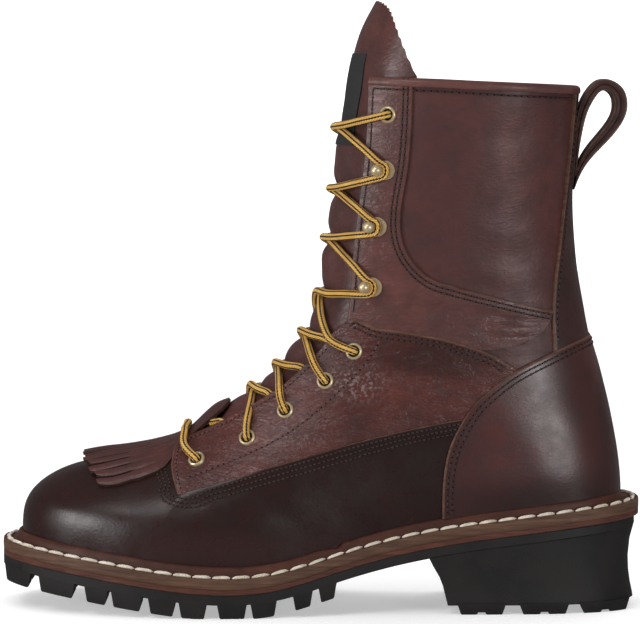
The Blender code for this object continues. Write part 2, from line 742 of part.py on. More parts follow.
def lace_bar_path():
    """Middle line of the bar over the flap, from the first eyelet to its partner."""
    level, angle = eyelet_places[0]
    edge = beside_edge(eyelet_places[0])
    turn = throat_angle(edge)
    near = [(level, angle, OVER_EYELET - 0.3), (edge - 0.1, turn, OVER_FLAP),
            (edge - 0.1, turn * 0.5, OVER_FLAP)]
    far = [(step[0], -step[1], step[2]) for step in near[::-1]]
    return [lay(*step) for step in near + [(edge - 0.1, 0.0, OVER_FLAP)] + far]


def hook_turn(place):
    """Three points of the lace where it bends behind a hook's stem."""
    level, angle = place
    point, back, up, out = frame_at(level, angle)
    behind = back if math.sin(angle) > 0.0 else -back
    turn = HOOK_STEM + LACE_RADIUS + 0.9
    return [point + behind * turn * reach + up * rise + out * OVER_HOOK_BASE
            for reach, rise in ((0.3, -5.0), (1.0, 0.0), (0.3, 5.0))]


def hook_run_path(side):
    """Middle line of one strand from the fifth eyelet over the hooks to the top eyelet."""
    stops = [eyelet_places[4]] + hook_places + [eyelet_places[5]]
    stops = [(level, angle * side * (-1.0) ** k) for k, (level, angle) in enumerate(stops)]
    path = [lay(*stops[0], OVER_EYELET)]
    for k in range(len(stops) - 1):
        start, end = stops[k], stops[k + 1]
        for share in (0.2, 0.38, 0.5, 0.62, 0.8):
            level = start[0] + (end[0] - start[0]) * share
            angle = start[1] + (end[1] - start[1]) * share
            height = OVER_EDGE if abs(angle) < throat_angle(level) else OVER_EDGE + 0.4
            path.append(lay(level, angle, OVER_TONGUE + 0.8 if share == 0.5 else height))
        path += hook_turn(end) if k < len(stops) - 2 else [lay(*end, OVER_EYELET)]
    return path


def make_crossing(name, lower, upper, from_outside, material):
    strand = tube(name, crossing_path(lower, upper, from_outside), LACE_RADIUS, material)
    mirrored = (lower[0], -lower[1])
    join(strand, tube(name + "_other", crossing_path(mirrored, upper, from_outside), LACE_RADIUS, material))
    return strand


def make_scene():
    for old in list(bpy.data.objects):
        bpy.data.objects.remove(old, do_unlink=True)
    leather = finish("brown leather", (0.075, 0.028, 0.022), 0.5)
    rubber = finish("black rubber", (0.012, 0.011, 0.011), 0.65)
    welt_leather = finish("welt leather", (0.19, 0.095, 0.055), 0.6)
    midsole_board = finish("midsole leather", (0.14, 0.035, 0.022), 0.6)
    lining = finish("insole leather", (0.33, 0.21, 0.12), 0.75)
    brass = finish("brass", (0.78, 0.55, 0.25), 0.3, 1.0)
    cord = finish("lace cord", (0.55, 0.3, 0.05), 0.7)
    make_outsole(rubber)
    make_midsole(midsole_board)
    make_welt(welt_leather)
    make_insole(lining)
    make_upper(leather)
    make_tongue(leather)
    make_counter(leather)
    make_kiltie(leather)
    make_pull_loop(leather)
    for k, (level, angle) in enumerate(eyelet_places, start=1):
        make_eyelet(f"eyelet_outer_{k}", level, angle, brass)
        make_eyelet(f"eyelet_inner_{k}", level, -angle, brass)
    for k, (level, angle) in enumerate(hook_places, start=1):
        make_hook(f"hook_outer_{k}", level, angle, brass)
        make_hook(f"hook_inner_{k}", level, -angle, brass)
    for k in range(1, 5):
        make_crossing(f"lace_crossing_{k}", eyelet_places[k - 1], eyelet_places[k], k > 1, cord)
    tube("lace_bar", lace_bar_path(), LACE_RADIUS, cord)
    run = tube("lace_hook_run", hook_run_path(1.0), LACE_RADIUS, cord)
    join(run, tube("lace_hook_run_other", hook_run_path(-1.0), LACE_RADIUS, cord))


make_scene()
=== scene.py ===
import math

import bmesh
import bpy
import numpy as np
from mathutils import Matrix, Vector


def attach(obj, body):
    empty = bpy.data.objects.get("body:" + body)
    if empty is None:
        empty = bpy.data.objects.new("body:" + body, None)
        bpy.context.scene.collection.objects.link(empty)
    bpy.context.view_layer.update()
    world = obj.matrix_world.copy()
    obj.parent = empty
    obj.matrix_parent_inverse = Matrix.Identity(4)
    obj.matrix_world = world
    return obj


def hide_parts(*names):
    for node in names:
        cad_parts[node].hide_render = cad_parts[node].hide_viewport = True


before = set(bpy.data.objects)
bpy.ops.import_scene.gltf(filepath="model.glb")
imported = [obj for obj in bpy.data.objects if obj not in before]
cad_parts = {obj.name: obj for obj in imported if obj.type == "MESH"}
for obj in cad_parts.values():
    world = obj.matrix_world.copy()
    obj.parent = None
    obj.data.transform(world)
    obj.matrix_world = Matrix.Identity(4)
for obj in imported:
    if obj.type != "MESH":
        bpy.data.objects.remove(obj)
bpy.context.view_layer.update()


# Outsole: one moulding of black rubber, with drafted lugs in three columns under the forefoot and a tall
# undercut heel with its own lugs. It comes out of the mould in one piece and is cemented under the midsole.
def curve_through(at, values):
    """Natural cubic spline through points, straight beyond both ends. Values may have several columns."""
    at = np.asarray(at, float)
    values = np.asarray(values, float)
    gaps = np.diff(at)
    wide = gaps.reshape((-1,) + (1,) * (values.ndim - 1))
    slopes = np.diff(values, axis=0) / wide
    matrix = np.eye(len(at))
    right = np.zeros_like(values)
    for i in range(1, len(at) - 1):
        matrix[i, i - 1:i + 2] = gaps[i - 1], 2.0 * (gaps[i - 1] + gaps[i]), gaps[i]
        right[i] = 6.0 * (slopes[i] - slopes[i - 1])
    bend = np.linalg.solve(matrix, right)
    first = slopes[0] - wide[0] * bend[1] / 6.0
    last = slopes[-1] + wide[-1] * bend[-2] / 6.0

    def value(x):
        x = np.asarray(x, float)
        inside = np.clip(x, at[0], at[-1])
        i = np.clip(np.searchsorted(at, inside, side="right") - 1, 0, len(gaps) - 1)
        spread = x.shape + (1,) * (values.ndim - 1)
        far = ((inside - at[i]) / gaps[i]).reshape(spread)
        near = 1.0 - far
        over = (x - inside).reshape(spread)
        bow = (near ** 3 - near) * bend[i] + (far ** 3 - far) * bend[i + 1]
        beyond = np.where(over < 0.0, first, last) * over
        return near * values[i] + far * values[i + 1] + bow * gaps[i].reshape(spread) ** 2 / 6.0 + beyond

    return value


def rounded(share, power):
    """Half width of a rounded outline of unit half width, at a fraction of its length."""
    return np.maximum(0.0, 1.0 - np.abs(2.0 * share - 1.0) ** power) ** (1.0 / power)


half_length = 153.0
ledge = curve_through((-153.0, -120.0, -88.0, -60.0, -45.0, -23.0, -3.0, 12.0, 57.0, 98.0, 153.0),
                      (31.5, 27.0, 22.6, 19.4, 18.7, 20.1, 25.0, 29.6, 40.0, 45.7, 52.0))
swing_line = curve_through((-153.0, -115.0, -70.0, -25.0, 20.0, 65.0, 110.0, 153.0),
                           (9.5, 7.0, 2.8, -0.6, -2.6, -2.2, -0.6, 0.0))
stations = np.array((0.10, 0.35, 0.62, 0.87))
sole_power = 2.5
sole_widths = np.array((43.5, 55.5, 40.0, 38.5))
sole_fullness = curve_through(stations, sole_widths / rounded(stations, sole_power))


def outline(x):
    """Half width of the sole."""
    share = (np.asarray(x, float) + half_length) / (2.0 * half_length)
    return rounded(share, sole_power) * sole_fullness(share)


sole_steps = np.linspace(-half_length, half_length, 200)
middle = (np.max(swing_line(sole_steps) + outline(sole_steps))
          + np.min(swing_line(sole_steps) - outline(sole_steps))) / 2.0


def centre(x):
    """Centre line of the sole, which swings to the inner side at the toe."""
    return swing_line(x) - middle


def rim_x(angle):
    """Place along the sole of its rim at an angle round it, with close steps at toe and heel."""
    turn = np.cos(angle)
    return -half_length * np.sign(turn) * np.abs(turn) ** 0.8


def loft(loops, closed=False):
    """Points and faces of a skin over closed loops of points, capped at both ends unless it closes."""
    loops = np.asarray(loops, float)
    count, sides = loops.shape[:2]
    index = np.arange(count * sides).reshape(count, sides)
    if closed:
        index = np.vstack((index, index[:1]))
    around = np.roll(index, -1, axis=1)
    faces = np.stack((index[:-1], around[:-1], around[1:], index[1:]), -1).reshape(-1, 4).tolist()
    if not closed:
        faces += [index[0][::-1].tolist(), index[-1].tolist()]
    return loops.reshape(-1, 3), faces, [0] * len(faces)


def merge(parts):
    """Several bodies of points, faces and finishes as one."""
    points, faces, kinds, first = [], [], [], 0
    for some_points, some_faces, some_kinds in parts:
        points.append(np.reshape(some_points, (-1, 3)))
        faces += [[i + first for i in face] for face in some_faces]
        kinds += list(some_kinds)
        first += len(points[-1])
    return np.concatenate(points), faces, kinds


def add_piece(name, body, finishes, sharp=40.0):
    """One mesh object from points in millimetres, its faces turned outwards."""
    points, faces, kinds = body
    mesh = bpy.data.meshes.new(name)
    mesh.from_pydata((np.asarray(points) * 0.001).tolist(), [], faces)
    mesh.polygons.foreach_set("material_index", kinds)
    bm = bmesh.new()
    bm.from_mesh(mesh)
    bmesh.ops.delete(bm, geom=[v for v in bm.verts if not v.link_faces], context="VERTS")
    bmesh.ops.recalc_face_normals(bm, faces=bm.faces)
    bm.to_mesh(mesh)
    bm.free()
    mesh.shade_smooth()
    mesh.set_sharp_from_angle(angle=math.radians(sharp))
    for finish in finishes:
        mesh.materials.append(finish)
    piece = bpy.data.objects.new(name, mesh)
    bpy.context.scene.collection.objects.link(piece)
    return piece


def layer(x, half, top, bottom, bevel):
    """Closed cross sections of a flat layer of the sole, with bevelled edges."""
    inset = np.minimum(bevel, 0.6 * half)
    corners = ((-1, 1, top), (0, 0, top), (1, 1, top), (1, 0, top - bevel), (1, 0, bottom + bevel),
               (1, 1, bottom), (0, 0, bottom), (-1, 1, bottom), (-1, 0, bottom + bevel), (-1, 0, top - bevel))
    return np.stack([np.stack((x, centre(x) + u * (half - cut * inset), z), -1) for u, cut, z in corners], 1)


def lug(front, back, left, right, top, bottom):
    """Block under one cell of the tread: drafted sides, a bevel at the foot, upright at the sole's edge."""
    share = np.repeat((left, right), 6)
    towards = np.repeat((1.0, -1.0), 6)
    loops = []
    for sink, draft in ((0.0, 0.0), (0.93, 1.3), (1.0, 1.9)):
        there = np.linspace(front + draft, back - draft, 6)
        x = np.concatenate((there, there[::-1]))
        inward = draft * np.where(np.abs(share) > 0.9, 0.3, 1.0)
        y = centre(x) + share * outline(x) + towards * inward
        loops.append(np.stack((x, y, top(x) * (1.0 - sink) + bottom(x) * sink), -1))
    return loft(loops)


def flat_at(height):
    """A level top or bottom of a lug."""
    return lambda x: np.full_like(x, height)


sole_x = rim_x(np.linspace(0.004, math.pi - 0.004, 170))
heel_begin = 100.0
plate_x = np.minimum(sole_x, heel_begin) + 0.962 * np.maximum(0.0, sole_x - heel_begin)
# Depths below the welt's ledge: the plate's top and foot, the top of the heel, and the lugs' top and foot.
plate_top, plate_foot, heel_top, lug_top, lug_foot = 7.6, 12.4, 11.0, 11.4, 19.3
plate = layer(plate_x, outline(sole_x), ledge(plate_x) - plate_top, ledge(plate_x) - plate_foot, bevel=0.5)
sole_bodies = [loft(plate)]
heel_foot = 4.2
heel_share = 1.0 - (1.0 - np.linspace(0.0, 1.0, 40)) ** 2
heel_seat = 52.0 + 100.2 * heel_share
heel_loops = []
for rise, front, back, inset in ((1.0, 50.8, 150.6, 0.4), (0.78, 53.2, 148.4, 0.8), (0.55, 56.2, 147.6, 1.2),
                                 (0.36, 58.0, 147.9, 1.5), (0.2, 59.2, 148.7, 1.5), (0.07, 59.9, 149.7, 1.2),
                                 (0.01, 60.1, 150.0, 1.1), (0.0, 60.6, 149.5, 1.5)):
    x = front + (back - front) * heel_share
    half = outline(heel_seat) - inset
    height = heel_foot + rise * (ledge(x) - heel_top - heel_foot)
    near = np.stack((x, centre(heel_seat) - half, height), -1)
    far = np.stack((x, centre(heel_seat) + half, height), -1)
    heel_loops.append(np.concatenate((near, far[::-1])))
sole_bodies.append(loft(heel_loops))
tread_columns = ((-1.0, -0.42), (-0.26, 0.26), (0.42, 1.0))
for front, back in ((-151.8, -137.4), (-133.6, -115.6), (-111.0, -99.6), (-98.2, -83.2), (-80.6, -67.6),
                    (-66.2, -52.8), (-48.2, -34.0), (-32.6, -20.0), (-12.8, -3.2), (-0.8, 8.0)):
    for left, right in tread_columns:
        sole_bodies.append(lug(front, back, left, right, lambda x: ledge(x) - lug_top,
                               lambda x: np.maximum(0.0, ledge(x) - lug_foot)))
for front, back in ((64.6, 87.6), (94.0, 117.6), (122.8, 147.4)):
    half_way = (front + back) / 2.0
    for left, right in tread_columns:
        sole_bodies.append(lug(front, back, left, right, flat_at(5.2), flat_at(1.1)))
        for start, end in ((front + 0.4, half_way - 0.7), (half_way + 0.7, back - 0.4)):
            sole_bodies.append(lug(start, end, 0.995 * left, 0.995 * right, flat_at(4.0), flat_at(0.0)))


def add(tree, kind, sockets=None, **settings):
    """One shader node with its settings and its input values or links. Colours come without alpha."""
    made = tree.nodes.new(kind)
    for name, value in settings.items():
        setattr(made, name, value)
    for name, value in (sockets or {}).items():
        socket = made.inputs[name]
        if isinstance(value, bpy.types.NodeSocket):
            tree.links.new(value, socket)
        else:
            socket.default_value = (*value, 1.0) if socket.type == "RGBA" else value
    return made


def on_piece(tree):
    """Coordinates fixed to the piece."""
    return add(tree, "ShaderNodeTexCoord").outputs["Object"]


def noise(tree, vector, scale, detail=2.0, roughness=0.5, distortion=0.0):
    sockets = {"Vector": vector, "Scale": scale, "Detail": detail, "Roughness": roughness,
               "Distortion": distortion}
    return add(tree, "ShaderNodeTexNoise", sockets).outputs["Fac"]


def sums(tree, operation, *values):
    """Result of a sum on numbers or links."""
    return add(tree, "ShaderNodeMath", dict(enumerate(values)), operation=operation).outputs[0]


def spread(tree, value, start, end, low=0.0, high=1.0, **settings):
    """A value carried over from one span to another and held at both ends."""
    spans = {"Value": value, "From Min": start, "From Max": end, "To Min": low, "To Max": high}
    return add(tree, "ShaderNodeMapRange", spans, **settings).outputs["Result"]


def mixed(tree, share, first, second):
    """A colour between two, by a share."""
    return add(tree, "ShaderNodeMixRGB", {"Fac": share, "Color1": first, "Color2": second}).outputs["Color"]


def new_group(name, inputs, outputs):
    """An effect that several finishes share, with its named inputs and outputs."""
    kinds = {float: "NodeSocketFloat", tuple: "NodeSocketColor", Vector: "NodeSocketVector"}
    tree = bpy.data.node_groups.new(name, "ShaderNodeTree")
    for label, value in inputs.items():
        socket = tree.interface.new_socket(label, in_out="INPUT", socket_type=kinds[type(value)])
        socket.default_value = (*value, 1.0) if isinstance(value, tuple) else value
    for label, kind in outputs.items():
        tree.interface.new_socket(label, in_out="OUTPUT", socket_type=kind)
    enter = tree.nodes.new("NodeGroupInput")
    leave = tree.nodes.new("NodeGroupOutput")
    return tree, enter.outputs, leave.inputs


def use_group(tree, group, **sockets):
    """Outputs of a shared effect, placed in a finish."""
    return add(tree, "ShaderNodeGroup", sockets, node_tree=group).outputs


# The clouds are soft uneven patches, which rubber and leather both have.
clouds, cloud_in, cloud_out = new_group("clouds", {"Scale": 30.0, "Low": 0.35, "High": 0.68},
                                        {"Mask": "NodeSocketFloat"})
blur = noise(clouds, on_piece(clouds), cloud_in["Scale"], 4.0, 0.55)
clouds.links.new(spread(clouds, blur, cloud_in["Low"], cloud_in["High"]), cloud_out["Mask"])


def cloud_mask(tree, scale, low=0.35, high=0.68):
    return use_group(tree, clouds, Scale=scale, Low=low, High=high)["Mask"]


def new_finish(name, roughness=0.5, specular=0.5):
    """A material with its node tree and its main shader."""
    finish = bpy.data.materials.new(name)
    finish.use_nodes = True
    shader = finish.node_tree.nodes["Principled BSDF"]
    shader.inputs["Roughness"].default_value = roughness
    shader.inputs["Specular IOR Level"].default_value = specular
    return finish, finish.node_tree, shader


def two_tone(name, first, second, scale, roughness=0.5, specular=0.5, low=0.35, high=0.68):
    """A finish in two tones that pass into each other in clouds, which also come back as a mask."""
    finish, tree, shader = new_finish(name, roughness, specular)
    mask = cloud_mask(tree, scale, low, high)
    tree.links.new(mixed(tree, mask, first, second), shader.inputs["Base Color"])
    return finish, tree, shader, mask


def bumped(tree, shader, height, strength, distance=0.0004):
    """A bump on a finish, from a height that changes over the surface."""
    bump = add(tree, "ShaderNodeBump", {"Height": height, "Strength": strength, "Distance": distance})
    tree.links.new(bump.outputs["Normal"], shader.inputs["Normal"])


rubber, tree, shader, mask = two_tone("black rubber", (0.0112, 0.01, 0.0098), (0.0185, 0.0158, 0.0148),
                                      scale=45.0, specular=0.3)
tree.links.new(spread(tree, mask, 0.0, 1.0, 0.5, 0.66), shader.inputs["Roughness"])
bumped(tree, shader, noise(tree, on_piece(tree), 1400.0, 3.0), 0.18)
piece = add_piece("sole_rubber", merge(sole_bodies), [rubber], sharp=32.0)
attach(piece, "root")
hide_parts("outsole")


# Midsole: a thin plate of leather stained reddish brown, cut to the sole's outline.
# It lies between welt and outsole, and its trimmed edge shows as a dark red line.
cut_edge, edge_in, edge_out = new_group(
    "trimmed edge", {"Light": (0.2, 0.12, 0.07), "Dark": (0.1, 0.05, 0.03), "Layers": 700.0},
    {"Color": "NodeSocketColor", "Height": "NodeSocketFloat"})
along_edge = add(cut_edge, "ShaderNodeMapping", {"Vector": on_piece(cut_edge), "Scale": (0.06, 0.06, 1.0)})
fibres = noise(cut_edge, along_edge.outputs["Vector"], edge_in["Layers"], 5.0, 0.65)
streaks = spread(cut_edge, fibres, 0.36, 0.64)
patchy = sums(cut_edge, "MULTIPLY", streaks, cloud_mask(cut_edge, 90.0, 0.3, 0.7))
streak_share = sums(cut_edge, "MULTIPLY", sums(cut_edge, "ADD", streaks, patchy), 0.5)
cut_edge.links.new(mixed(cut_edge, streak_share, edge_in["Dark"], edge_in["Light"]), edge_out["Color"])
cut_edge.links.new(streaks, edge_out["Height"])


def edge_finish(name, light, dark, layers, roughness):
    """A trimmed leather edge, streaked along its length."""
    finish, tree, shader = new_finish(name, roughness, 0.25)
    fibre = use_group(tree, cut_edge, Light=light, Dark=dark, Layers=layers)
    tree.links.new(fibre["Color"], shader.inputs["Base Color"])
    bumped(tree, shader, fibre["Height"], 0.3)
    return finish


midsole_edge = edge_finish("midsole edge", (0.125, 0.043, 0.026), (0.06, 0.02, 0.013), 900.0, 0.55)
midsole_top, midsole_foot = 5.0, 7.7
midsole = layer(sole_x, outline(sole_x) - 0.2, ledge(sole_x) - midsole_top, ledge(sole_x) - midsole_foot,
                bevel=0.25)
piece = add_piece("midsole_plate", loft(midsole), [midsole_edge])
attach(piece, "root")
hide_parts("midsole")


# Welt: a strip of brown leather bent all round the lasted upper, with a rolled storm lip against it and a
# groove for the stitches on its ledge. Its ends meet at the outer side of the waist, where the front end's
# lip is pared lower.
station_share = curve_through(stations, np.eye(4))

# Each ring of the last has its front x and z, back x and z, half widths at the four stations, the power of
# its outline, and its shares in the sole's toe spring and in the sole's swing.
rings = curve_through(range(14), (
    (-142.8, 25.4, 141.8, 45.7, 36.5, 47.0, 32.5, 31.5, 2.5, 1.00, 1.00),
    (-143.3, 34.6, 142.2, 54.9, 37.0, 48.0, 33.5, 32.3, 2.5, 1.00, 1.00),
    (-142.5, 45.5, 141.8, 66.0, 37.0, 48.5, 35.0, 33.3, 2.5, 0.92, 1.00),
    (-137.0, 55.0, 140.6, 76.0, 34.5, 47.0, 35.5, 33.2, 2.5, 0.80, 1.00),
    (-122.0, 64.5, 138.8, 86.0, 27.5, 43.0, 35.8, 32.8, 2.45, 0.62, 0.95),
    (-98.0, 70.5, 136.6, 97.0, 25.5, 39.0, 36.3, 32.0, 2.4, 0.42, 0.85),
    (-70.0, 80.0, 134.0, 107.0, 25.5, 37.0, 36.6, 31.2, 2.35, 0.25, 0.70),
    (-43.0, 98.5, 131.0, 117.5, 25.0, 35.5, 36.6, 30.3, 2.3, 0.12, 0.50),
    (-21.5, 118.5, 127.4, 130.0, 24.5, 34.8, 36.2, 29.3, 2.3, 0.04, 0.30),
    (-7.5, 142.0, 124.2, 147.0, 24.5, 35.0, 36.2, 28.6, 2.3, 0.0, 0.15),
    (-2.0, 170.0, 120.8, 171.0, 25.2, 36.6, 38.0, 29.2, 2.3, 0.0, 0.0),
    (2.0, 200.0, 119.4, 196.0, 26.6, 39.0, 41.0, 31.0, 2.3, 0.0, 0.0),
    (5.6, 228.0, 120.6, 221.0, 28.0, 41.4, 43.8, 33.0, 2.3, 0.0, 0.0),
    (9.5, 256.5, 122.5, 247.0, 29.4, 43.6, 46.0, 34.8, 2.3, 0.0, 0.0)))


def surface(level, angle):
    """Points on the outside of the last: level up its rings, angle round them by the outer side."""
    level, angle = np.broadcast_arrays(np.asarray(level, float), np.asarray(angle, float))
    row = rings(level)
    front_x, front_z, back_x, back_z = (row[..., k] for k in range(4))
    power = row[..., 8]
    turn = np.cos(angle)
    along = (1.0 - np.sign(turn) * np.abs(turn) ** (2.0 / power)) / 2.0
    fullness = np.sum(row[..., 4:8] / rounded(stations, power[..., None]) * station_share(along), axis=-1)
    half = rounded(along, power) * fullness
    x = front_x + (back_x - front_x) * along
    y = row[..., 10] * swing_line(x) - middle + np.where(np.sin(angle) >= 0.0, -half, half)
    chord = ledge(front_x) * (1.0 - along) + ledge(back_x) * along
    z = front_z * (1.0 - along) + back_z * along + row[..., 9] * (ledge(x) - chord)
    return np.stack((x, y, z), -1)


def unit(vectors):
    return vectors / np.linalg.norm(vectors, axis=-1, keepdims=True)


def outward(level, angle):
    """Directions straight out of the last."""
    back = surface(level, angle + 0.03) - surface(level, angle - 0.03)
    up = surface(level + 0.03, angle) - surface(level - 0.03, angle)
    return unit(np.cross(back, up))


def skin(level, angle, height):
    """Points standing a height off the last."""
    return surface(level, angle) + outward(level, angle) * np.asarray(height, float)[..., None]


welt_angle = np.linspace(0.0, 2.0 * math.pi, 460, endpoint=False) + 0.003
welt_foot = skin(np.zeros_like(welt_angle), welt_angle, 0.1)
welt_crest = skin(np.ones_like(welt_angle), welt_angle, 0.1)
welt_x = rim_x(welt_angle)
welt_side = np.where(np.sin(welt_angle) >= 0.0, -1.0, 1.0)
welt_rim = np.stack((welt_x, centre(welt_x) + welt_side * outline(welt_x), ledge(welt_x)), -1)
welt_out = unit((welt_rim - welt_foot) * (1.0, 1.0, 0.0))
outer_waist = (np.sin(welt_angle) > 0.0) & (welt_crest[:, 0] < 9.5)
lip_drop = 0.42 * np.clip((welt_crest[:, 0] + 4.0) / 13.5, 0.0, 1.0) ** 2
lip_share = np.where(outer_waist, 1.0 - lip_drop, 1.0)


def welt_line(start, shift, rise):
    """One line along the welt, set off outwards from the upper or the rim and up from the ledge."""
    line = start + welt_out * shift
    line[:, 2] = ledge(line[:, 0]) + rise
    return line


lip = ((0.0, 4.4), (0.5, 4.9), (1.3, 4.85), (2.2, 4.2), (2.85, 3.0), (3.2, 1.5))
lip_foot = ((3.5, 0.5), (4.0, 0.05))
groove_and_edge = ((-4.1, 0.0), (-3.6, -0.5), (-2.6, -0.7), (-1.7, -0.4), (-1.3, 0.0), (-0.45, 0.0),
                   (0.0, -0.4), (0.1, -2.4), (0.0, -2.65), (0.1, -2.9), (0.0, -4.8), (-0.3, -5.1))
welt_profile = [welt_line(welt_foot, 0.0, -5.0)]
welt_profile += [welt_line(welt_crest, shift, rise * lip_share) for shift, rise in lip]
welt_profile += [welt_line(welt_crest, shift, rise) for shift, rise in lip_foot]
welt_profile += [welt_line(welt_rim, shift, rise) for shift, rise in groove_and_edge]
points, faces, kinds = loft(np.stack(welt_profile, 1), closed=True)
kinds = np.tile((0,) * 14 + (1,) * 6 + (0,), len(welt_angle)).tolist()
lip_leather, tree, shader = new_finish("welt leather", specular=0.25)
fibre = use_group(tree, cut_edge, Light=(0.115, 0.041, 0.026), Dark=(0.064, 0.022, 0.015), Layers=420.0)
mask = cloud_mask(tree, 60.0)
tree.links.new(mixed(tree, mask, fibre["Color"], (0.05, 0.018, 0.0125)), shader.inputs["Base Color"])
tree.links.new(spread(tree, mask, 0.0, 1.0, 0.4, 0.54), shader.inputs["Roughness"])
bumped(tree, shader, fibre["Height"], 0.12, 0.0003)
welt_edge = edge_finish("welt edge", (0.145, 0.075, 0.046), (0.068, 0.032, 0.02), 520.0, 0.55)
piece = add_piece("welt_strip", (points, faces, kinds), [lip_leather, welt_edge], sharp=50.0)
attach(piece, "root")
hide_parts("welt")


# Welt stitching: a thick off-white waxed thread, machine sewn through welt, midsole and sole.
# Each stitch is a plump lens that lies in the welt's groove, a little slanted.
def lengths(path):
    """Way along a path to each of its points."""
    return np.concatenate(([0.0], np.cumsum(np.linalg.norm(np.diff(path, axis=0), axis=1))))


def points_at(path, run, where):
    """Points of a path at some lengths along it."""
    return np.stack([np.interp(where, run, path[:, k]) for k in range(3)], -1)


def spaced(path, pitch):
    """Points of a path at even steps, the directions along it there, and their shares of the way."""
    run = lengths(path)
    count = max(2, int(round(run[-1] / pitch)))
    at = (np.arange(count) + 0.5) * run[-1] / count
    reach = 0.3 * pitch
    along = points_at(path, run, at + reach) - points_at(path, run, at - reach)
    return points_at(path, run, at), unit(along), at / run[-1]


def thread_marks(spots, along, out, length, width, rise, slant=0.0, sides=8, rings_each=7):
    """Plump stitches as one body: each a closed lens along the seam, flattened on the leather."""
    across = unit(np.cross(out, along))
    along = unit(along * math.cos(slant) + across * math.sin(slant))
    across = unit(np.cross(out, along))
    t = np.linspace(-1.0, 1.0, rings_each)
    plump = np.maximum(0.1, 1.0 - np.abs(t) ** 3.2) ** 0.6
    turn = 2.0 * math.pi * np.arange(sides) / sides
    body = (spots[:, None, None] + along[:, None, None] * (t * length / 2.0)[None, :, None, None]
            + across[:, None, None] * (plump[:, None] * np.cos(turn) * width / 2.0)[None, :, :, None]
            + out[:, None, None] * (plump[:, None] * np.sin(turn) * rise)[None, :, :, None])
    return merge([loft(lens) for lens in body])


groove = welt_line(welt_rim, -2.7, 0.25)
spots, along, _ = spaced(np.vstack((groove, groove[:1])), 9.2)
upright = np.zeros_like(spots) + (0.0, 0.0, 1.0)
thread, tree, shader, _ = two_tone("waxed thread", (0.84, 0.77, 0.65), (0.56, 0.48, 0.37),
                                   scale=220.0, roughness=0.6)
twist = add(tree, "ShaderNodeTexWave", {"Vector": on_piece(tree), "Scale": 420.0, "Distortion": 2.0},
            bands_direction="DIAGONAL")
bumped(tree, shader, twist.outputs["Fac"], 0.35)
stitches = thread_marks(spots, along, upright, length=8.5, width=1.95, rise=1.1, slant=0.12, rings_each=9)
piece = add_piece("welt_stitches", stitches, [thread])
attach(piece, "root")


# Insole: a footbed of undyed leather on its board, dropped inside the lasted upper.
# It is only seen through the collar.
insole_share = np.linspace(0.002, 0.998, 90)
insole_toe, insole_length = -139.8, 278.6
insole_x = insole_toe + insole_length * insole_share
insole_fullness = curve_through(stations, np.array((36.5, 47.0, 32.5, 31.5)) / rounded(stations, sole_power))
insole_half = np.maximum(0.5, rounded(insole_share, sole_power) * insole_fullness(insole_share) - 3.0)
insole = layer(insole_x, insole_half, ledge(insole_x) + 2.0, ledge(insole_x) - 5.0, bevel=0.8)
footbed = two_tone("footbed leather", (0.36, 0.23, 0.13), (0.26, 0.155, 0.085), scale=35.0, roughness=0.75)[0]
piece = add_piece("footbed", loft(insole), [footbed])
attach(piece, "root")
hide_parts("insole")


# Upper: oiled full-grain leather, cut, closed and pulled over the last, with a smooth lining inside.
# This shell is the lowest layer, which shows bare as the large panel at the side of the shaft.
search_grid = np.meshgrid(np.linspace(0.5, 13.0, 60), np.linspace(0.06, math.pi - 0.06, 90))
search_level, search_angle = (grid.ravel() for grid in search_grid)
search_seen = surface(search_level, search_angle)[:, [0, 2]]


def slopes(level, angle, step=1e-3):
    """Points on the last, and how they move by level and by angle."""
    here = surface(level, angle)
    by_level = (surface(level + step, angle) - here) / step
    by_angle = (surface(level, angle + step) - here) / step
    return here, np.stack((by_level, by_angle), -1)


def on_side(x, z):
    """Levels and angles of the points of the outer side seen from that side at x and z."""
    target = np.stack((np.asarray(x, float), np.asarray(z, float)), -1)
    nearest = np.argmin(np.sum((search_seen[None] - target[:, None]) ** 2, axis=-1), axis=1)
    level, angle = search_level[nearest], search_angle[nearest]
    for _ in range(12):
        here, matrix = slopes(level, angle)
        move = np.linalg.solve(matrix[:, [0, 2]], (target - here[:, [0, 2]])[..., None])[..., 0]
        move = np.clip(move, -0.3, 0.3)
        level, angle = level + move[:, 0], angle + move[:, 1]
    return level, angle


def seen_line(x, z):
    """A seam through points seen from the outer side, as rows of level and angle."""
    return np.stack(on_side(x, z), -1)


throat_level = 5.55
edge_level, edge_angle = on_side((-61.5, -38.0, -21.0, -2.5, 9.8, 13.6, 15.5, 19.0, 22.0, 23.4),
                                 (80.6, 88.8, 101.4, 115.4, 128.8, 142.4, 164.0, 195.0, 222.0, 250.0))
throat_curve = curve_through(np.append(throat_level, edge_level), np.append(math.radians(16.0), edge_angle))


def throat(level):
    """Angle of the facing's front edge."""
    return throat_curve(np.maximum(level, throat_level))


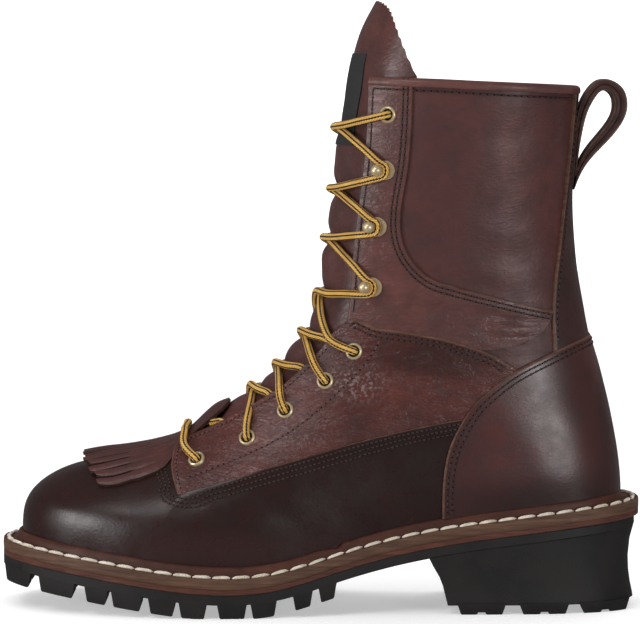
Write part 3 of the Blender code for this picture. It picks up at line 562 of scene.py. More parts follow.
# Creases as lines seen from the side, with their depth and width: the bend of the ankle, the folds behind the
# facing, the flex of the vamp and the slack of the shaft.
creases = (
    ((24, 46, 72, 96), (150, 145, 140, 139), 0.75, 4.0), ((28, 58, 88), (162, 157, 152), 0.45, 4.5),
    ((70, 90, 106), (134, 130, 131), 0.5, 2.6), ((80, 98, 110), (140, 137, 136), 0.4, 2.2),
    ((28, 50, 72), (118, 112, 110), 0.6, 3.2), ((14, 38, 62), (104, 99, 98), 0.5, 3.0),
    ((34, 52, 68), (94, 91, 93), 0.4, 2.6), ((-10, 8, 24), (84, 84, 88), 0.35, 3.0),
    ((-70, -58, -46), (50, 42, 35), 0.14, 4.5), ((-54, -42, -30), (54, 45, 38), 0.14, 4.5),
    ((-34, -20, -6), (60, 50, 44), 0.12, 5.0), ((44, 60, 84), (205, 196, 194), 0.35, 7.0),
    ((70, 90, 108), (172, 168, 170), 0.4, 6.0), ((60, 84, 104), (232, 226, 229), 0.3, 7.0))
crease_fade = 10.0


def folds(points):
    """Height of the creases: a soft trough along each, with a low ridge on both sides, on a gentle swell."""
    x, y, z = np.moveaxis(points, -1, 0)
    height = 0.22 * np.sin(x * 0.071 + 1.3) * np.sin(z * 0.083 + 0.4)
    height = height + 0.1 * np.sin(x * 0.19) * np.sin(z * 0.17 + y * 0.1)
    for xs, zs, depth, width in creases:
        taper = np.clip((x - xs[0]) / crease_fade, 0.0, 1.0) * np.clip((xs[-1] - x) / crease_fade, 0.0, 1.0)
        taper = taper * taper * (3.0 - 2.0 * taper)
        off = z - curve_through(xs, zs)(np.clip(x, xs[0], xs[-1]))
        ridges = 0.55 * np.exp(-((np.abs(off) - 1.7 * width) / width) ** 2)
        height = height + depth * taper * (ridges - np.exp(-(off / width) ** 2))
    return height


def leather_skin(level, angle, height):
    """Points of a leather layer over the last, with the creases of the boot."""
    flat = surface(level, angle)
    return flat + outward(level, angle) * (np.asarray(height, float) + folds(flat))[..., None]


def wall(outer, inner, wraps=False, keep=None, bevels=(0, 0, 0)):
    """Closed wall between two grids of points. Its finishes: 0 outside, 1 rim and bevels, 2 inside.

    The bevels count the cells of the bevelled cut edges at front, rear and top.
    """
    rows, columns = outer.shape[:2]
    cells = np.ones((rows - 1, columns if wraps else columns - 1), bool) if keep is None else keep
    index = np.arange(rows * columns).reshape(rows, columns)
    if wraps:
        index = np.hstack((index, index[:, :1]))
    quads = np.stack((index[:-1, :-1], index[:-1, 1:], index[1:, 1:], index[1:, :-1]), -1)
    top = quads[cells]
    framed = np.pad(cells, 1)
    if wraps:
        framed[:, 0] = framed[:, -2]
        framed[:, -1] = framed[:, 1]
    beside = (framed[:-2, 1:-1], framed[1:-1, 2:], framed[2:, 1:-1], framed[1:-1, :-2])
    under = rows * columns
    rims = []
    for k, taken in enumerate(beside):
        edge = quads[cells & ~taken]
        a, b = edge[:, k], edge[:, (k + 1) % 4]
        rims.append(np.stack((a, a + under, b + under, b), -1))
    rims = np.concatenate(rims)
    faces = np.concatenate((top, rims, top[:, ::-1] + under))
    bevel = np.zeros(cells.shape, int)
    bevel[:, :bevels[0]] = 1
    bevel[:, cells.shape[1] - bevels[1]:] = 1
    bevel[len(cells) - bevels[2]:] = 1
    kinds = bevel[cells].tolist() + [1] * len(rims) + [2] * len(top)
    return np.concatenate((outer.reshape(-1, 3), inner.reshape(-1, 3))), faces.tolist(), kinds


def leather_layer(level, angle, height, under, **edges):
    """A panel of leather from its creased outside down to a height inside it."""
    return wall(leather_skin(level, angle, height), skin(level, angle, under), **edges)


# Oiled leather: cloudy tones, a fine pebble grain, and shallow wrinkles that run round the foot, with painted
# shade in the wrinkles' troughs.
oiled, oil_in, oil_out = new_group(
    "oiled leather",
    {"Tone": (0.07, 0.026, 0.022), "Warm": (0.11, 0.03, 0.022), "Worn": (0.035, 0.014, 0.012),
     "Grain": 0.5, "Wrinkle": 0.4, "Gloss": 0.42},
    {"Color": "NodeSocketColor", "Roughness": "NodeSocketFloat", "Height": "NodeSocketFloat"})
place = on_piece(oiled)
warm_patches = cloud_mask(oiled, 21.0, 0.36, 0.7)
dark_patches = cloud_mask(oiled, 100.0, 0.42, 0.8)
warm_tone = mixed(oiled, warm_patches, oil_in["Tone"], oil_in["Warm"])
worn_tone = mixed(oiled, sums(oiled, "MULTIPLY", dark_patches, 0.65), warm_tone, oil_in["Worn"])
pebble = add(oiled, "ShaderNodeTexVoronoi", {"Vector": place, "Scale": 760.0}, feature="SMOOTH_F1")
pore = noise(oiled, place, 2300.0)
pulled = add(oiled, "ShaderNodeMapping", {"Vector": place, "Scale": (1.0, 1.0, 2.6),
                                          "Rotation": (0.0, 0.25, 0.0)})
ripple = noise(oiled, pulled.outputs["Vector"], 120.0, 4.0, 0.6, 0.8)
ripple_fold = sums(oiled, "ABSOLUTE", sums(oiled, "SUBTRACT", ripple, 0.5))
ripple_share = spread(oiled, ripple_fold, 0.0, 0.16)
pebbled = sums(oiled, "MULTIPLY_ADD", pore, 0.35, pebble.outputs["Distance"])
grain = sums(oiled, "MULTIPLY", pebbled, oil_in["Grain"])
oil_height = sums(oiled, "MULTIPLY_ADD", ripple_share, oil_in["Wrinkle"], grain)
# Painted shade: the colour darkens towards the worn-and-shade tone in the troughs of the wrinkles.
crease_shade = sums(oiled, "MULTIPLY", spread(oiled, ripple_share, 0.0, 0.5, 0.35, 0.0), oil_in["Wrinkle"])
oil_colour = mixed(oiled, crease_shade, worn_tone, oil_in["Worn"])
oil_gloss = sums(oiled, "ADD", oil_in["Gloss"], spread(oiled, dark_patches, 0.0, 1.0, -0.05, 0.1))
for label, output in (("Color", oil_colour), ("Roughness", oil_gloss), ("Height", oil_height)):
    oiled.links.new(output, oil_out[label])

# A painted light spot lays another tone on the leather in place of light and shade: painted highlights,
# sheen, glints and shade. It is full at its centre and may break into specks.
painted_light_spot, spot_in, spot_out = new_group(
    "painted light spot",
    {"Centre": Vector((0.0, 0.0, 0.0)), "Reach": Vector((0.03, 1.0, 0.03)), "Share": 0.5, "Specks": 0.0},
    {"Mask": "NodeSocketFloat"})
place = on_piece(painted_light_spot)
off_centre = add(painted_light_spot, "ShaderNodeVectorMath", {0: place, 1: spot_in["Centre"]}, operation="SUBTRACT")
in_reach = add(painted_light_spot, "ShaderNodeVectorMath", {0: off_centre.outputs["Vector"], 1: spot_in["Reach"]},
               operation="DIVIDE")
from_centre = add(painted_light_spot, "ShaderNodeVectorMath", {0: in_reach.outputs["Vector"]}, operation="LENGTH")
fade = spread(painted_light_spot, from_centre.outputs["Value"], 0.15, 1.0, 1.0, 0.0, interpolation_type="SMOOTHSTEP")
speck = spread(painted_light_spot, noise(painted_light_spot, place, 640.0, 4.0), 0.5, 0.62, -1.0, 0.0)
broken = sums(painted_light_spot, "MULTIPLY_ADD", speck, spot_in["Specks"], 1.0)
whole = sums(painted_light_spot, "MULTIPLY", fade, broken)
painted_light_spot.links.new(sums(painted_light_spot, "MULTIPLY", whole, spot_in["Share"]), spot_out["Mask"])


def leather_finish(name, tone, warm, worn_and_shade, grain, wrinkle, gloss, spots=(), coat=0.05):
    """Oiled leather in a panel's tones, with spots of painted light and shade. Each spot has a centre, reach,
    colour, share and specks.
    """
    finish, tree, shader = new_finish(name, specular=0.4)
    hide = use_group(tree, oiled, Tone=tone, Warm=warm, Worn=worn_and_shade, Grain=grain, Wrinkle=wrinkle, Gloss=gloss)
    colour = hide["Color"]
    # Each spot lays painted light and shade over the leather's colour.
    for middle_at, reach, spot_colour, share, specks in spots:
        mark = use_group(tree, painted_light_spot, Centre=middle_at, Reach=reach, Share=share, Specks=specks)
        colour = mixed(tree, mark["Mask"], colour, spot_colour)
    tree.links.new(colour, shader.inputs["Base Color"])
    tree.links.new(hide["Roughness"], shader.inputs["Roughness"])
    bumped(tree, shader, hide["Height"], 0.4, 0.0005)
    shader.inputs["Coat Weight"].default_value = coat
    shader.inputs["Coat Roughness"].default_value = 0.28
    return finish


def dipped(level, angle):
    """Levels near the collar on its own line, which is lower at the facings and higher at the back."""
    return level - np.clip((level - 12.4) / 0.6, 0.0, 1.0) * (0.045 + 0.09 * np.cos(angle))


closed_rows, front_columns, side_columns = 44, 20, 256
collar_end = 13.0
closed_levels = np.linspace(0.0, throat_level, closed_rows)
shell_levels = np.concatenate((closed_levels, np.linspace(throat_level, collar_end, 72)[1:]))
front_share = np.linspace(-1.0, 1.0, front_columns, endpoint=False)
side_share = np.linspace(0.0, 1.0, side_columns, endpoint=False)
edge = throat(shell_levels)[:, None]
shell_angle = np.hstack((edge * front_share, edge + (2.0 * math.pi - 2.0 * edge) * side_share))
shell_level = dipped(np.repeat(shell_levels[:, None], front_columns + side_columns, axis=1), shell_angle)
cells = np.ones((len(shell_levels) - 1, front_columns + side_columns), bool)
cells[closed_rows - 1:, :front_columns] = False
shaft_leather = leather_finish("shaft panel leather", (0.066, 0.023, 0.022), (0.1, 0.03, 0.025),
                               (0.036, 0.0135, 0.0125), grain=0.35, wrinkle=0.32, gloss=0.46)
raw_edge = edge_finish("panel cut edge", (0.15, 0.074, 0.048), (0.075, 0.033, 0.023), 600.0, 0.6)
lining = two_tone("lining leather", (0.17, 0.09, 0.055), (0.11, 0.055, 0.035), scale=40.0, roughness=0.7)[0]
shell_outside, shell_inside = -0.3, -2.2
body = leather_layer(shell_level, shell_angle, shell_outside, shell_inside, wraps=True, keep=cells)
piece = add_piece("upper_shell", body, [shaft_leather, raw_edge, lining])
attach(piece, "root")
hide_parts("upper")


# Shaft front: the facing strip with the hooks and the band under the side panel, cut in one piece each side.
# It is laid over the shaft panel and sewn down with two rows of dark thread along its curved edge.
def steps(count, start=False, end=False, trim=0.011):
    """Even steps from 0 to 1, with two closer ones at the ends where a cut edge is bevelled."""
    first = (0.0, 0.4 * trim, trim) if start else (0.0,)
    last = (1.0 - trim, 1.0 - 0.4 * trim, 1.0) if end else (1.0,)
    inner = np.linspace(0.0, 1.0, count)
    inner = inner[(inner > first[-1] + 0.002) & (inner < last[0] - 0.002)]
    return np.concatenate((first, inner, last))


def rounding(share, trim=0.011, depth=0.5):
    """Drop of a cut edge's bevel at the end of a panel's steps."""
    return depth * np.clip(1.0 - share / trim, 0.0, 1.0) ** 1.5


# Rough length of one level and of one radian.
millimetres = np.array((20.0, 40.0))


def along_line(line):
    """Curve of levels and angles through the points of a seam, by its share of the way."""
    line = np.asarray(line, float)
    run = lengths(line * millimetres)
    return curve_through(run / run[-1], line)


def patch(bottom, top, front, rear, s, t):
    """Levels and angles of a panel between four seams: s from front to rear and t from bottom to top."""
    low, high = bottom(s)[None], top(s)[None]
    left, right = front(t)[:, None], rear(t)[:, None]
    s, t = s[None, :, None], t[:, None, None]
    corners = ((1 - s) * (1 - t) * low[:, :1] + s * (1 - t) * low[:, -1:] + (1 - s) * t * high[:, :1]
               + s * t * high[:, -1:])
    spots = (1 - t) * low + t * high + (1 - s) * left + s * right - corners
    return spots[..., 0], spots[..., 1]


under_panel = -1.0


def both_sides(level, angle, height, bevels):
    """A panel on the outer side and its mirror image on the inner side, as one body."""
    outer = leather_layer(level, angle, height, under_panel, bevels=bevels)
    inner = leather_layer(level[:, ::-1], 2.0 * math.pi - angle[:, ::-1], height[:, ::-1], under_panel,
                          bevels=(bevels[1], bevels[0], bevels[2]))
    return merge([outer, inner])


panel_line = seen_line((43.5, 42.6, 40.8, 37.6, 38.6, 42.7, 51.6, 63.7, 81.9, 97.4, 110.0),
                       (252.5, 227.9, 207.9, 184.4, 176.0, 167.1, 158.6, 154.4, 149.6, 145.6, 142.6))
s, t = steps(70, start=True, end=True), steps(120)
front_levels = np.linspace(8.3, 13.0, 30)
front_seam = along_line(np.stack((front_levels, throat(front_levels)), -1))
rear_seam = along_line(panel_line[::-1])
bottom_seam = along_line((front_seam(0.0), (8.3, math.radians(80.0)), (7.9, math.radians(105.0)),
                          (8.1, math.radians(125.0)), panel_line[-1]))
top_seam = along_line((front_seam(1.0), (13.0, math.radians(58.0)), panel_line[0]))
level, angle = patch(bottom_seam, top_seam, front_seam, rear_seam, s, t)
level = dipped(level, angle)
front_height = 1.05
height = front_height - rounding(s)[None] - rounding(1.0 - s)[None] + 0.0 * level
shaft_panel = level, angle, height
front_leather = leather_finish("shaft front leather", (0.088, 0.036, 0.033), (0.134, 0.046, 0.038),
                               (0.04, 0.017, 0.0155), grain=0.45, wrinkle=0.7, gloss=0.33)
piece = add_piece("shaft_front", both_sides(*shaft_panel, (2, 2, 0)), [front_leather, raw_edge, lining])
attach(piece, "root")


# Quarter: the reddish side panel with the eyelets, from the rounded corner over the ankle down to the vamp.
# Its upper edge is cut, left bare and sewn over the shaft front with a double row.
quarter_line = seen_line((12.8, 15.4, 20.0, 26.5, 37.6, 51.6, 65.7, 76.9, 84.4, 91.0, 97.0),
                         (137.0, 138.9, 138.2, 135.2, 133.6, 131.3, 127.8, 124.0, 120.4, 116.6, 113.0))
corner_line = seen_line((-66.5, -67.8, -69.2, -69.6, -68.4), (56.1, 59.4, 64.4, 68.8, 74.4))
vamp_line = seen_line((-66.5, -48.0, -22.8, 9.4, 28.1, 46.9, 65.7, 72.0),
                      (56.1, 61.3, 69.4, 79.2, 84.3, 88.6, 92.0, 92.9))
low_edge_line = seen_line((-61.5, -47.6, -35.0, -23.1, -9.5, 3.1, 9.0, 12.8),
                          (80.6, 88.0, 95.4, 102.6, 113.8, 127.4, 134.6, 138.0))
low_edge = curve_through(low_edge_line[:, 0], low_edge_line[:, 1])
quarter_edge = np.concatenate((corner_line, low_edge_line[:-1]))
under_vamp = vamp_line - (0.3, 0.0)
front_seam = along_line(np.concatenate((quarter_edge, quarter_line[:1])))
bottom_seam = along_line(np.concatenate((corner_line[:1], under_vamp[1:])))
rear_seam = along_line((under_vamp[-1], (6.2, math.radians(116.0)), quarter_line[-1]))
front_trim = 0.006
s, t = steps(100, start=True, trim=front_trim), steps(90, end=True)
level, angle = patch(bottom_seam, along_line(quarter_line), front_seam, rear_seam, s, t)
flat = surface(level, angle)
from_top = np.linalg.norm(flat - flat[-1:], axis=-1)
from_front = np.linalg.norm(flat - flat[:, :1], axis=-1)
from_rear = np.clip(np.linalg.norm(flat - flat[:, -1:], axis=-1) / 9.0, 0.0, 1.0)
front_rise = np.interp(level, (3.57, 4.2, 5.5, 6.2, 7.0, 8.8), (1.0, 2.2, 2.5, 1.4, 0.5, 0.2))
top_swell = 0.95 * from_rear * np.exp(-(from_top / 9.0) ** 2)
front_swell = front_rise * np.exp(-(from_front / 9.0) ** 2)
height = 0.75 + top_swell + front_swell - rounding(s, front_trim)[None] - rounding(1.0 - t)[:, None]
quarter_panel = level, angle, height
# Painted light and shade on the quarter: painted shade in a darker band just under the top seam, a greyish
# painted sheen broken into specks in front, and pale painted glints in specks above and behind it.
quarter_painted_light = (((0.05, 0.0, 0.122), (0.05, 1.0, 0.016), (0.028, 0.0105, 0.009), 0.75, 0.0),
                 ((-0.01, 0.0, 0.086), (0.032, 1.0, 0.019), (0.15, 0.105, 0.1), 0.5, 0.8),
                 ((0.017, 0.0, 0.109), (0.021, 1.0, 0.013), (0.24, 0.185, 0.175), 0.6, 1.0))
quarter_leather = leather_finish("quarter leather", (0.072, 0.0225, 0.0195), (0.128, 0.036, 0.028),
                                 (0.03, 0.0115, 0.0105), grain=0.6, wrinkle=0.9, gloss=0.3,
                                 spots=quarter_painted_light)
piece = add_piece("quarters", both_sides(*quarter_panel, (2, 0, 2)), [quarter_leather, raw_edge, lining])
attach(piece, "root")


# Vamp: one smooth panel of darker leather over toe and ball, pulled down under the welt.
# Its upper edge lies over the quarters with three rows of stitches, and its throat goes under the flap.
under_front = np.concatenate((corner_line[::-1] + (0.16, 0.0), vamp_line[:1] + (0.02, 0.0)))
vamp_edge = np.concatenate((((5.5, 0.0), (5.5, math.radians(18.0))), under_front, vamp_line[1:]))
column = np.radians(np.concatenate((np.linspace(0.0, 40.0, 40), np.linspace(40.6, 112.0, 120))))
vamp_top = np.interp(column, vamp_edge[:, 1], vamp_edge[:, 0])
vamp_foot = 1.02
t = steps(64, end=True)
level = vamp_foot + (vamp_top[None] - vamp_foot) * t[:, None]
angle = np.repeat(column[None], len(t), axis=0)
flat = surface(level, angle)
from_top = np.linalg.norm(flat - flat[-1:], axis=-1)
sewn = np.clip((column - math.radians(57.0)) / math.radians(8.0), 0.0, 1.0)
height = 0.5 + (1.25 * np.exp(-(from_top / 8.5) ** 2) - rounding(1.0 - t)[:, None]) * sewn[None]
vamp_panel = level, angle, height
mirrored = level, -angle, height
whole_vamp = [np.hstack((other[:, :0:-1], half)) for other, half in zip(mirrored, vamp_panel)]
# Painted light: a lighter band along the vamp's foot, standing for light thrown up from the floor.
vamp_painted_light = (((-0.045, 0.0, 0.03), (0.1, 1.0, 0.014), (0.036, 0.0145, 0.0132), 0.7, 0.0),)
vamp_leather = leather_finish("vamp leather", (0.0186, 0.0075, 0.0067), (0.027, 0.009, 0.0078),
                              (0.0125, 0.006, 0.0054), grain=0.18, wrinkle=0.04, gloss=0.32,
                              spots=vamp_painted_light)
body = leather_layer(*whole_vamp, under_panel, bevels=(0, 0, 2))
piece = add_piece("vamp", body, [vamp_leather, raw_edge, lining])
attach(piece, "root")


# Backstay: a strip of dark leather up the back seam of the shaft, wide at the heel and narrow at the collar.
# It is sewn over the shaft's panels and runs down under the heel counter.
stay_half = curve_through((7.2, 8.0, 8.83, 9.7, 10.5, 11.2, 12.0, 13.0),
                          np.radians((43.0, 42.7, 42.2, 35.5, 27.0, 21.0, 17.5, 15.5)))
stay_trim = 0.009
s = steps(41, start=True, end=True, trim=stay_trim)
level = np.repeat(np.linspace(7.2, 12.95, 110)[:, None], len(s), axis=1)
angle = math.pi + stay_half(level) * (2.0 * s[None] - 1.0)
level = dipped(level, angle)
height = 1.4 - rounding(s, stay_trim)[None] - rounding(1.0 - s, stay_trim)[None] + 0.0 * level
stay_panel = level, angle, height
stay_leather = leather_finish("backstay leather", (0.036, 0.0158, 0.0145), (0.052, 0.018, 0.0162),
                              (0.021, 0.0105, 0.01), grain=0.3, wrinkle=0.3, gloss=0.4)
body = leather_layer(*stay_panel, under_panel, bevels=(2, 2, 0))
piece = add_piece("backstay", body, [stay_leather, raw_edge, lining])
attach(piece, "root")


# Heel counter: a stiff pocket of leather moulded round the heel, smoother and redder than the quarters.
# It is sewn over quarter, vamp and backstay with a double row just inside its cut edge.
counter_start = math.radians(109.0)
counter_span = math.pi - counter_start


def counter_reach(angle):
    """Root of the way round from the counter's front edge to the back of the heel."""
    return np.sqrt(np.maximum(0.0, (counter_span - np.abs(angle - math.pi)) / counter_span))


counter_top = curve_through((0.0, 0.094, 0.187, 0.275, 0.38, 0.484, 0.58, 0.71, 0.86, 1.0),
                            (5.2, 5.92, 6.34, 6.68, 7.04, 7.31, 7.52, 7.76, 7.93, 8.0))
counter_trim = 0.0055
counter_foot = 1.06
side = counter_start + counter_span * steps(80, start=True, trim=counter_trim)
column = np.concatenate((side, 2.0 * math.pi - side[-2::-1]))
t = steps(60, end=True)
level = counter_foot + (counter_top(counter_reach(column))[None] - counter_foot) * t[:, None]
angle = np.repeat(column[None], len(t), axis=0)
from_start = np.minimum(column - counter_start, 2.0 * math.pi - counter_start - column)
height = (2.1 - rounding(1.0 - t)[:, None] - rounding(from_start / counter_span, counter_trim)[None]
          + 0.0 * level)
counter_panel = level, angle, height
# Painted shade: the counter darkens towards its foot and along its rounded back edge.
counter_painted_shade = (((0.105, 0.0, 0.05), (0.075, 1.0, 0.024), (0.018, 0.0075, 0.007), 0.8, 0.0),
                 ((0.14, 0.0, 0.085), (0.014, 1.0, 0.05), (0.022, 0.009, 0.008), 0.6, 0.0))
counter_leather = leather_finish("counter leather", (0.05, 0.0161, 0.0152), (0.077, 0.0209, 0.0184),
                                 (0.026, 0.0095, 0.009), grain=0.14, wrinkle=0.08, gloss=0.34,
                                 spots=counter_painted_shade, coat=0.3)
body = leather_layer(*counter_panel, 0.0, bevels=(2, 2, 2))
piece = add_piece("heel_pocket", body, [counter_leather, raw_edge, lining])
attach(piece, "root")
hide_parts("heel_counter")


# Collar binding: a reddish leather strip rolled over the top edge of the shaft and sewn below.
# It ends at the facings on both sides of the throat.
binding_end = float(throat(collar_end)) + 0.02
ring_angle = np.linspace(binding_end, 2.0 * math.pi - binding_end, 260)
collar_level = dipped(12.98, ring_angle)
collar = surface(collar_level, ring_angle)
collar_out = outward(collar_level - 0.08, ring_angle)
collar_up = unit(collar - surface(collar_level - 0.18, ring_angle))
profile = ((0.4, -3.1), (1.4, -3.0), (1.85, -2.4), (1.9, -1.3), (1.7, -0.3), (1.1, 0.5), (0.1, 1.0),
           (-1.0, 1.05), (-2.1, 0.7), (-2.8, 0.0), (-3.0, -1.4), (-2.9, -3.1), (-2.2, -3.4), (-1.0, -2.2))
binding = np.stack([collar + collar_out * out + collar_up * up for out, up in profile], 1)
binding_leather = leather_finish("binding leather", (0.104, 0.044, 0.038), (0.144, 0.052, 0.042),
                                 (0.05, 0.0195, 0.0175), grain=0.3, wrinkle=0.4, gloss=0.4)
piece = add_piece("collar_binding", loft(binding), [binding_leather], sharp=60.0)
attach(piece, "root")


# Tongue: a wide, soft leaf of the same leather under the facings, with a pinked edge where it stands out of
# the collar. It is pressed in by each crossing of the lace and swells between them.
tongue_half = curve_through((5.3, 6.0, 6.6, 8.0, 10.0, 12.0, 13.0),
                            np.radians((24.0, 38.0, 53.0, 61.0, 62.0, 67.0, 73.0)))
tongue_ridge = curve_through(
    (5.3, 6.0, 6.5, 6.9, 7.15, 7.66, 8.27, 9.0, 9.6, 9.95, 10.65, 11.6, 12.5, 13.0, 14.3),
    (-1.5, -2.0, -1.6, -1.0, -1.6, -3.0, -2.7, -4.4, -4.2, -3.0, -3.7, -3.1, -4.6, -4.8, -4.8))
crossings = ((6.5, 4.4), (7.39, 2.6), (7.94, 2.4), (8.63, 2.8), (9.33, 2.6), (10.22, 3.6), (11.0, 3.0),
             (12.04, 1.0))


def tongue_depth(level, across):
    """Height of the tongue's outside, round between the facings and dented under each crossing."""
    side = np.clip(np.abs(across) / 0.8, 0.0, 1.0)
    side = side * side * (3.0 - 2.0 * side)
    dents = sum(deep * np.exp(-((level - at) / 0.17) ** 2) for at, deep in crossings)
    dent = dents * np.exp(-(across / 0.3) ** 2)
    soft = 0.22 * np.sin(level * 7.0 + across * 9.0) * np.exp(-(across / 0.6) ** 2)
    hollow = 2.2 * np.exp(-((np.abs(across) - 0.45) / 0.22) ** 2)
    return tongue_ridge(level) * (1.0 - side) - 3.4 * side - hollow - dent + soft


def tongue_skin(level, angle, height):
    """Points on the tongue, whose free tip bends back over the collar."""
    points = skin(level, angle, height)
    points[..., 0] += 7.0 * np.maximum(0.0, level - 13.1) ** 1.6
    return points


tongue_foot = 5.3
across = np.linspace(-1.0, 1.0, 121)[None]
share = np.concatenate((np.linspace(0.0, 0.985, 190), (0.993, 1.0)))[:, None]
pinked = 0.028 * np.abs((across * 30.0) % 2.0 - 1.0)
tip = collar_end + 1.3 * (1.0 - np.abs(across) ** 2.9) - 0.15 - pinked
level = tongue_foot + (tip - tongue_foot) * share
angle = tongue_half(np.minimum(level, collar_end)) * across
depth = tongue_depth(level, across)
thickness = 2.2 * np.clip((1.0 - share) / 0.02, 0.35, 1.0)
tongue_leather = leather_finish("tongue leather", (0.072, 0.031, 0.029), (0.105, 0.037, 0.032),
                                (0.032, 0.0145, 0.0138), grain=0.4, wrinkle=0.6, gloss=0.4)
pinked_edge = edge_finish("pinked edge", (0.34, 0.22, 0.16), (0.16, 0.085, 0.06), 500.0, 0.8)
body = wall(tongue_skin(level, angle, depth), tongue_skin(level, angle, depth - thickness))
piece = add_piece("tongue_leaf", body, [tongue_leather, pinked_edge, lining])
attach(piece, "root")
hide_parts("tongue")

# A plain woven patch is sewn on the tongue below its tip.
patch_angles = np.radians(np.linspace(-29.0, 29.0, 25))
level, angle = np.meshgrid(np.linspace(11.75, 13.28, 46), patch_angles, indexing="ij")
depth = tongue_depth(level, angle / tongue_half(np.minimum(level, collar_end)))
woven, tree, shader = new_finish("woven patch", roughness=0.7)
weft, warp = (add(tree, "ShaderNodeTexWave", {"Vector": on_piece(tree), "Scale": 500.0}, bands_direction=way)
              for way in ("Z", "Y"))
weave = sums(tree, "MULTIPLY", weft.outputs["Fac"], warp.outputs["Fac"])
tree.links.new(mixed(tree, weave, (0.016, 0.016, 0.017), (0.035, 0.034, 0.034)), shader.inputs["Base Color"])
bumped(tree, shader, weave, 0.4)
body = wall(tongue_skin(level, angle, depth + 0.6), tongue_skin(level, angle, depth - 0.3))
piece = add_piece("tongue_patch", body, [woven, woven, woven])
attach(piece, "root")


# Kiltie: a false tongue of leather lying on the vamp, cut into strips at its front and held by the first bar
# of the lace. The strips curl a little and pleats run back from their slits.
def on_top(x, y):
    """Levels and angles of the points of the vamp seen from above at x and y."""
    off = y - centre(x)
    level = np.full(x.shape, 4.6)
    angle = np.where(off > 0.0, -0.6, 0.6) * np.minimum(1.0, np.abs(off) / 15.0)
    target = np.stack((x, y), -1)
    for _ in range(40):
        here, matrix = slopes(level, angle)
        matrix = matrix[..., :2, :]
        turned = np.swapaxes(matrix, -1, -2)
        pull = turned @ (target - here[..., :2])[..., None]
        move = np.linalg.solve(turned @ matrix + 0.05 * np.eye(2), pull)[..., 0]
        move = np.clip(move, -0.2, 0.2)
        level = np.clip(level + move[..., 0], 1.5, 8.0)
        angle = np.clip(angle + move[..., 1], -1.5, 1.5)
    return level, angle


flap_half = curve_through((-113.0, -106.0, -92.0, -80.0, -72.0, -66.0, -60.0, -54.0, -48.0, -45.0, -43.4),
                          (31.0, 32.5, 32.5, 31.5, 28.5, 22.0, 16.5, 13.5, 11.5, 9.6, 7.0))
flap_middle = curve_through((-113.0, -104.0, -94.0, -85.0, -75.0, -66.0, -62.0, -57.0, -52.0, -47.0, -43.4),
                            (5.2, 5.1, 4.2, 3.2, 2.0, 0.8, 0.7, 1.6, 2.5, 2.3, 0.8))
flap_side = curve_through((-113.0, -90.0, -75.0, -66.0, -57.0, -43.4), (2.4, 2.2, 1.6, 0.6, 0.9, 0.7))
flap_thickness = 1.5
slit_start, strip_length = -90.0, 23.0
strips, strip_columns, slit_row = 16, 7, 46
strip_reach = (0.0, 1.2, -0.5, 0.8, -0.9, 0.4, 1.3, -0.4, 0.7, -0.6, 0.9, 0.2, -0.7, 0.5, 1.0, -0.3)
flap_lines = np.concatenate((np.linspace(-43.4, slit_start, slit_row), np.linspace(-90.6, -113.0, 34)))
strip = np.repeat(np.arange(strips), strip_columns)
u = np.tile(np.linspace(-1.0, 1.0, strip_columns), strips)
line = np.repeat(flap_lines[:, None], strips * strip_columns, axis=1)
toward_tip = np.clip((slit_start - line) / strip_length, 0.0, 1.0)
slit = 0.35 * np.clip(toward_tip * 8.0, 0.0, 1.0)
half_strip = flap_half(line) / strips
y_off = -flap_half(line) + (2 * strip + 1) * half_strip + u * (half_strip - slit)
off_middle = y_off / flap_half(line)
bow = 9.0 * np.clip((line + 70.0) / -43.0, 0.0, 1.0)
x = line + bow * off_middle ** 2 + toward_tip ** 2 * (np.array(strip_reach)[strip] + 1.0 * np.abs(u) ** 3)
level, angle = on_top(x, centre(x) + y_off)
pleat = np.clip((-66.0 - line) / 20.0, 0.0, 1.0)
curl = toward_tip ** 2 * 0.35 * np.sin(strip * 2.3)
height = (flap_middle(line) + (flap_side(line) - flap_middle(line)) * off_middle ** 2 + curl
          + pleat * (0.35 * (1.0 - u ** 2) - 0.2 * np.abs(u) ** 6))
cells = np.ones((len(flap_lines) - 1, strips * strip_columns - 1), bool)
cells[slit_row:, strip_columns - 1::strip_columns] = False
flap_leather = leather_finish("flap leather", (0.062, 0.0245, 0.022), (0.092, 0.0295, 0.025),
                              (0.03, 0.013, 0.012), grain=0.4, wrinkle=0.5, gloss=0.4)
# The flap's cut edge is darkened as painted shade.
flap_shaded_edge = edge_finish("flap cut edge with painted shade", (0.075, 0.037, 0.027), (0.03, 0.016, 0.013), 600.0, 0.6)
body = wall(skin(level, angle, height), skin(level, angle, height - flap_thickness), keep=cells)
piece = add_piece("flap", body, [flap_leather, flap_shaded_edge, flap_leather])
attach(piece, "root")
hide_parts("kiltie")


# Pull loop: a strap of thick leather folded double, sewn on the back of the shaft below the collar.
# Its grain side is out, its cut edges are paler and the inside of the bow is rough.
loop_outer = ((119.8, 198.0), (120.3, 214.0), (121.9, 232.0), (125.0, 242.5), (129.4, 249.0), (134.4, 251.8),
              (140.0, 250.6), (144.6, 246.5), (146.3, 240.0), (144.6, 232.5), (138.6, 224.0), (131.0, 216.0),
              (125.0, 208.0), (121.2, 199.0))
loop_inner = ((122.4, 209.0), (123.8, 220.0), (126.0, 231.5), (128.4, 238.4), (131.4, 243.6), (134.4, 246.2),
              (137.4, 245.6), (139.4, 243.0), (140.0, 239.4), (138.8, 234.0), (133.8, 226.8), (128.2, 220.0),
              (124.2, 213.6), (122.5, 209.2))
loop_sections = 130
fine = np.linspace(0.0, 1.0, loop_sections)
outer_bow, inner_bow = (curve_through(np.linspace(0.0, 1.0, len(bow)), bow)(fine)[:, None]
                        for bow in (loop_outer, loop_inner))
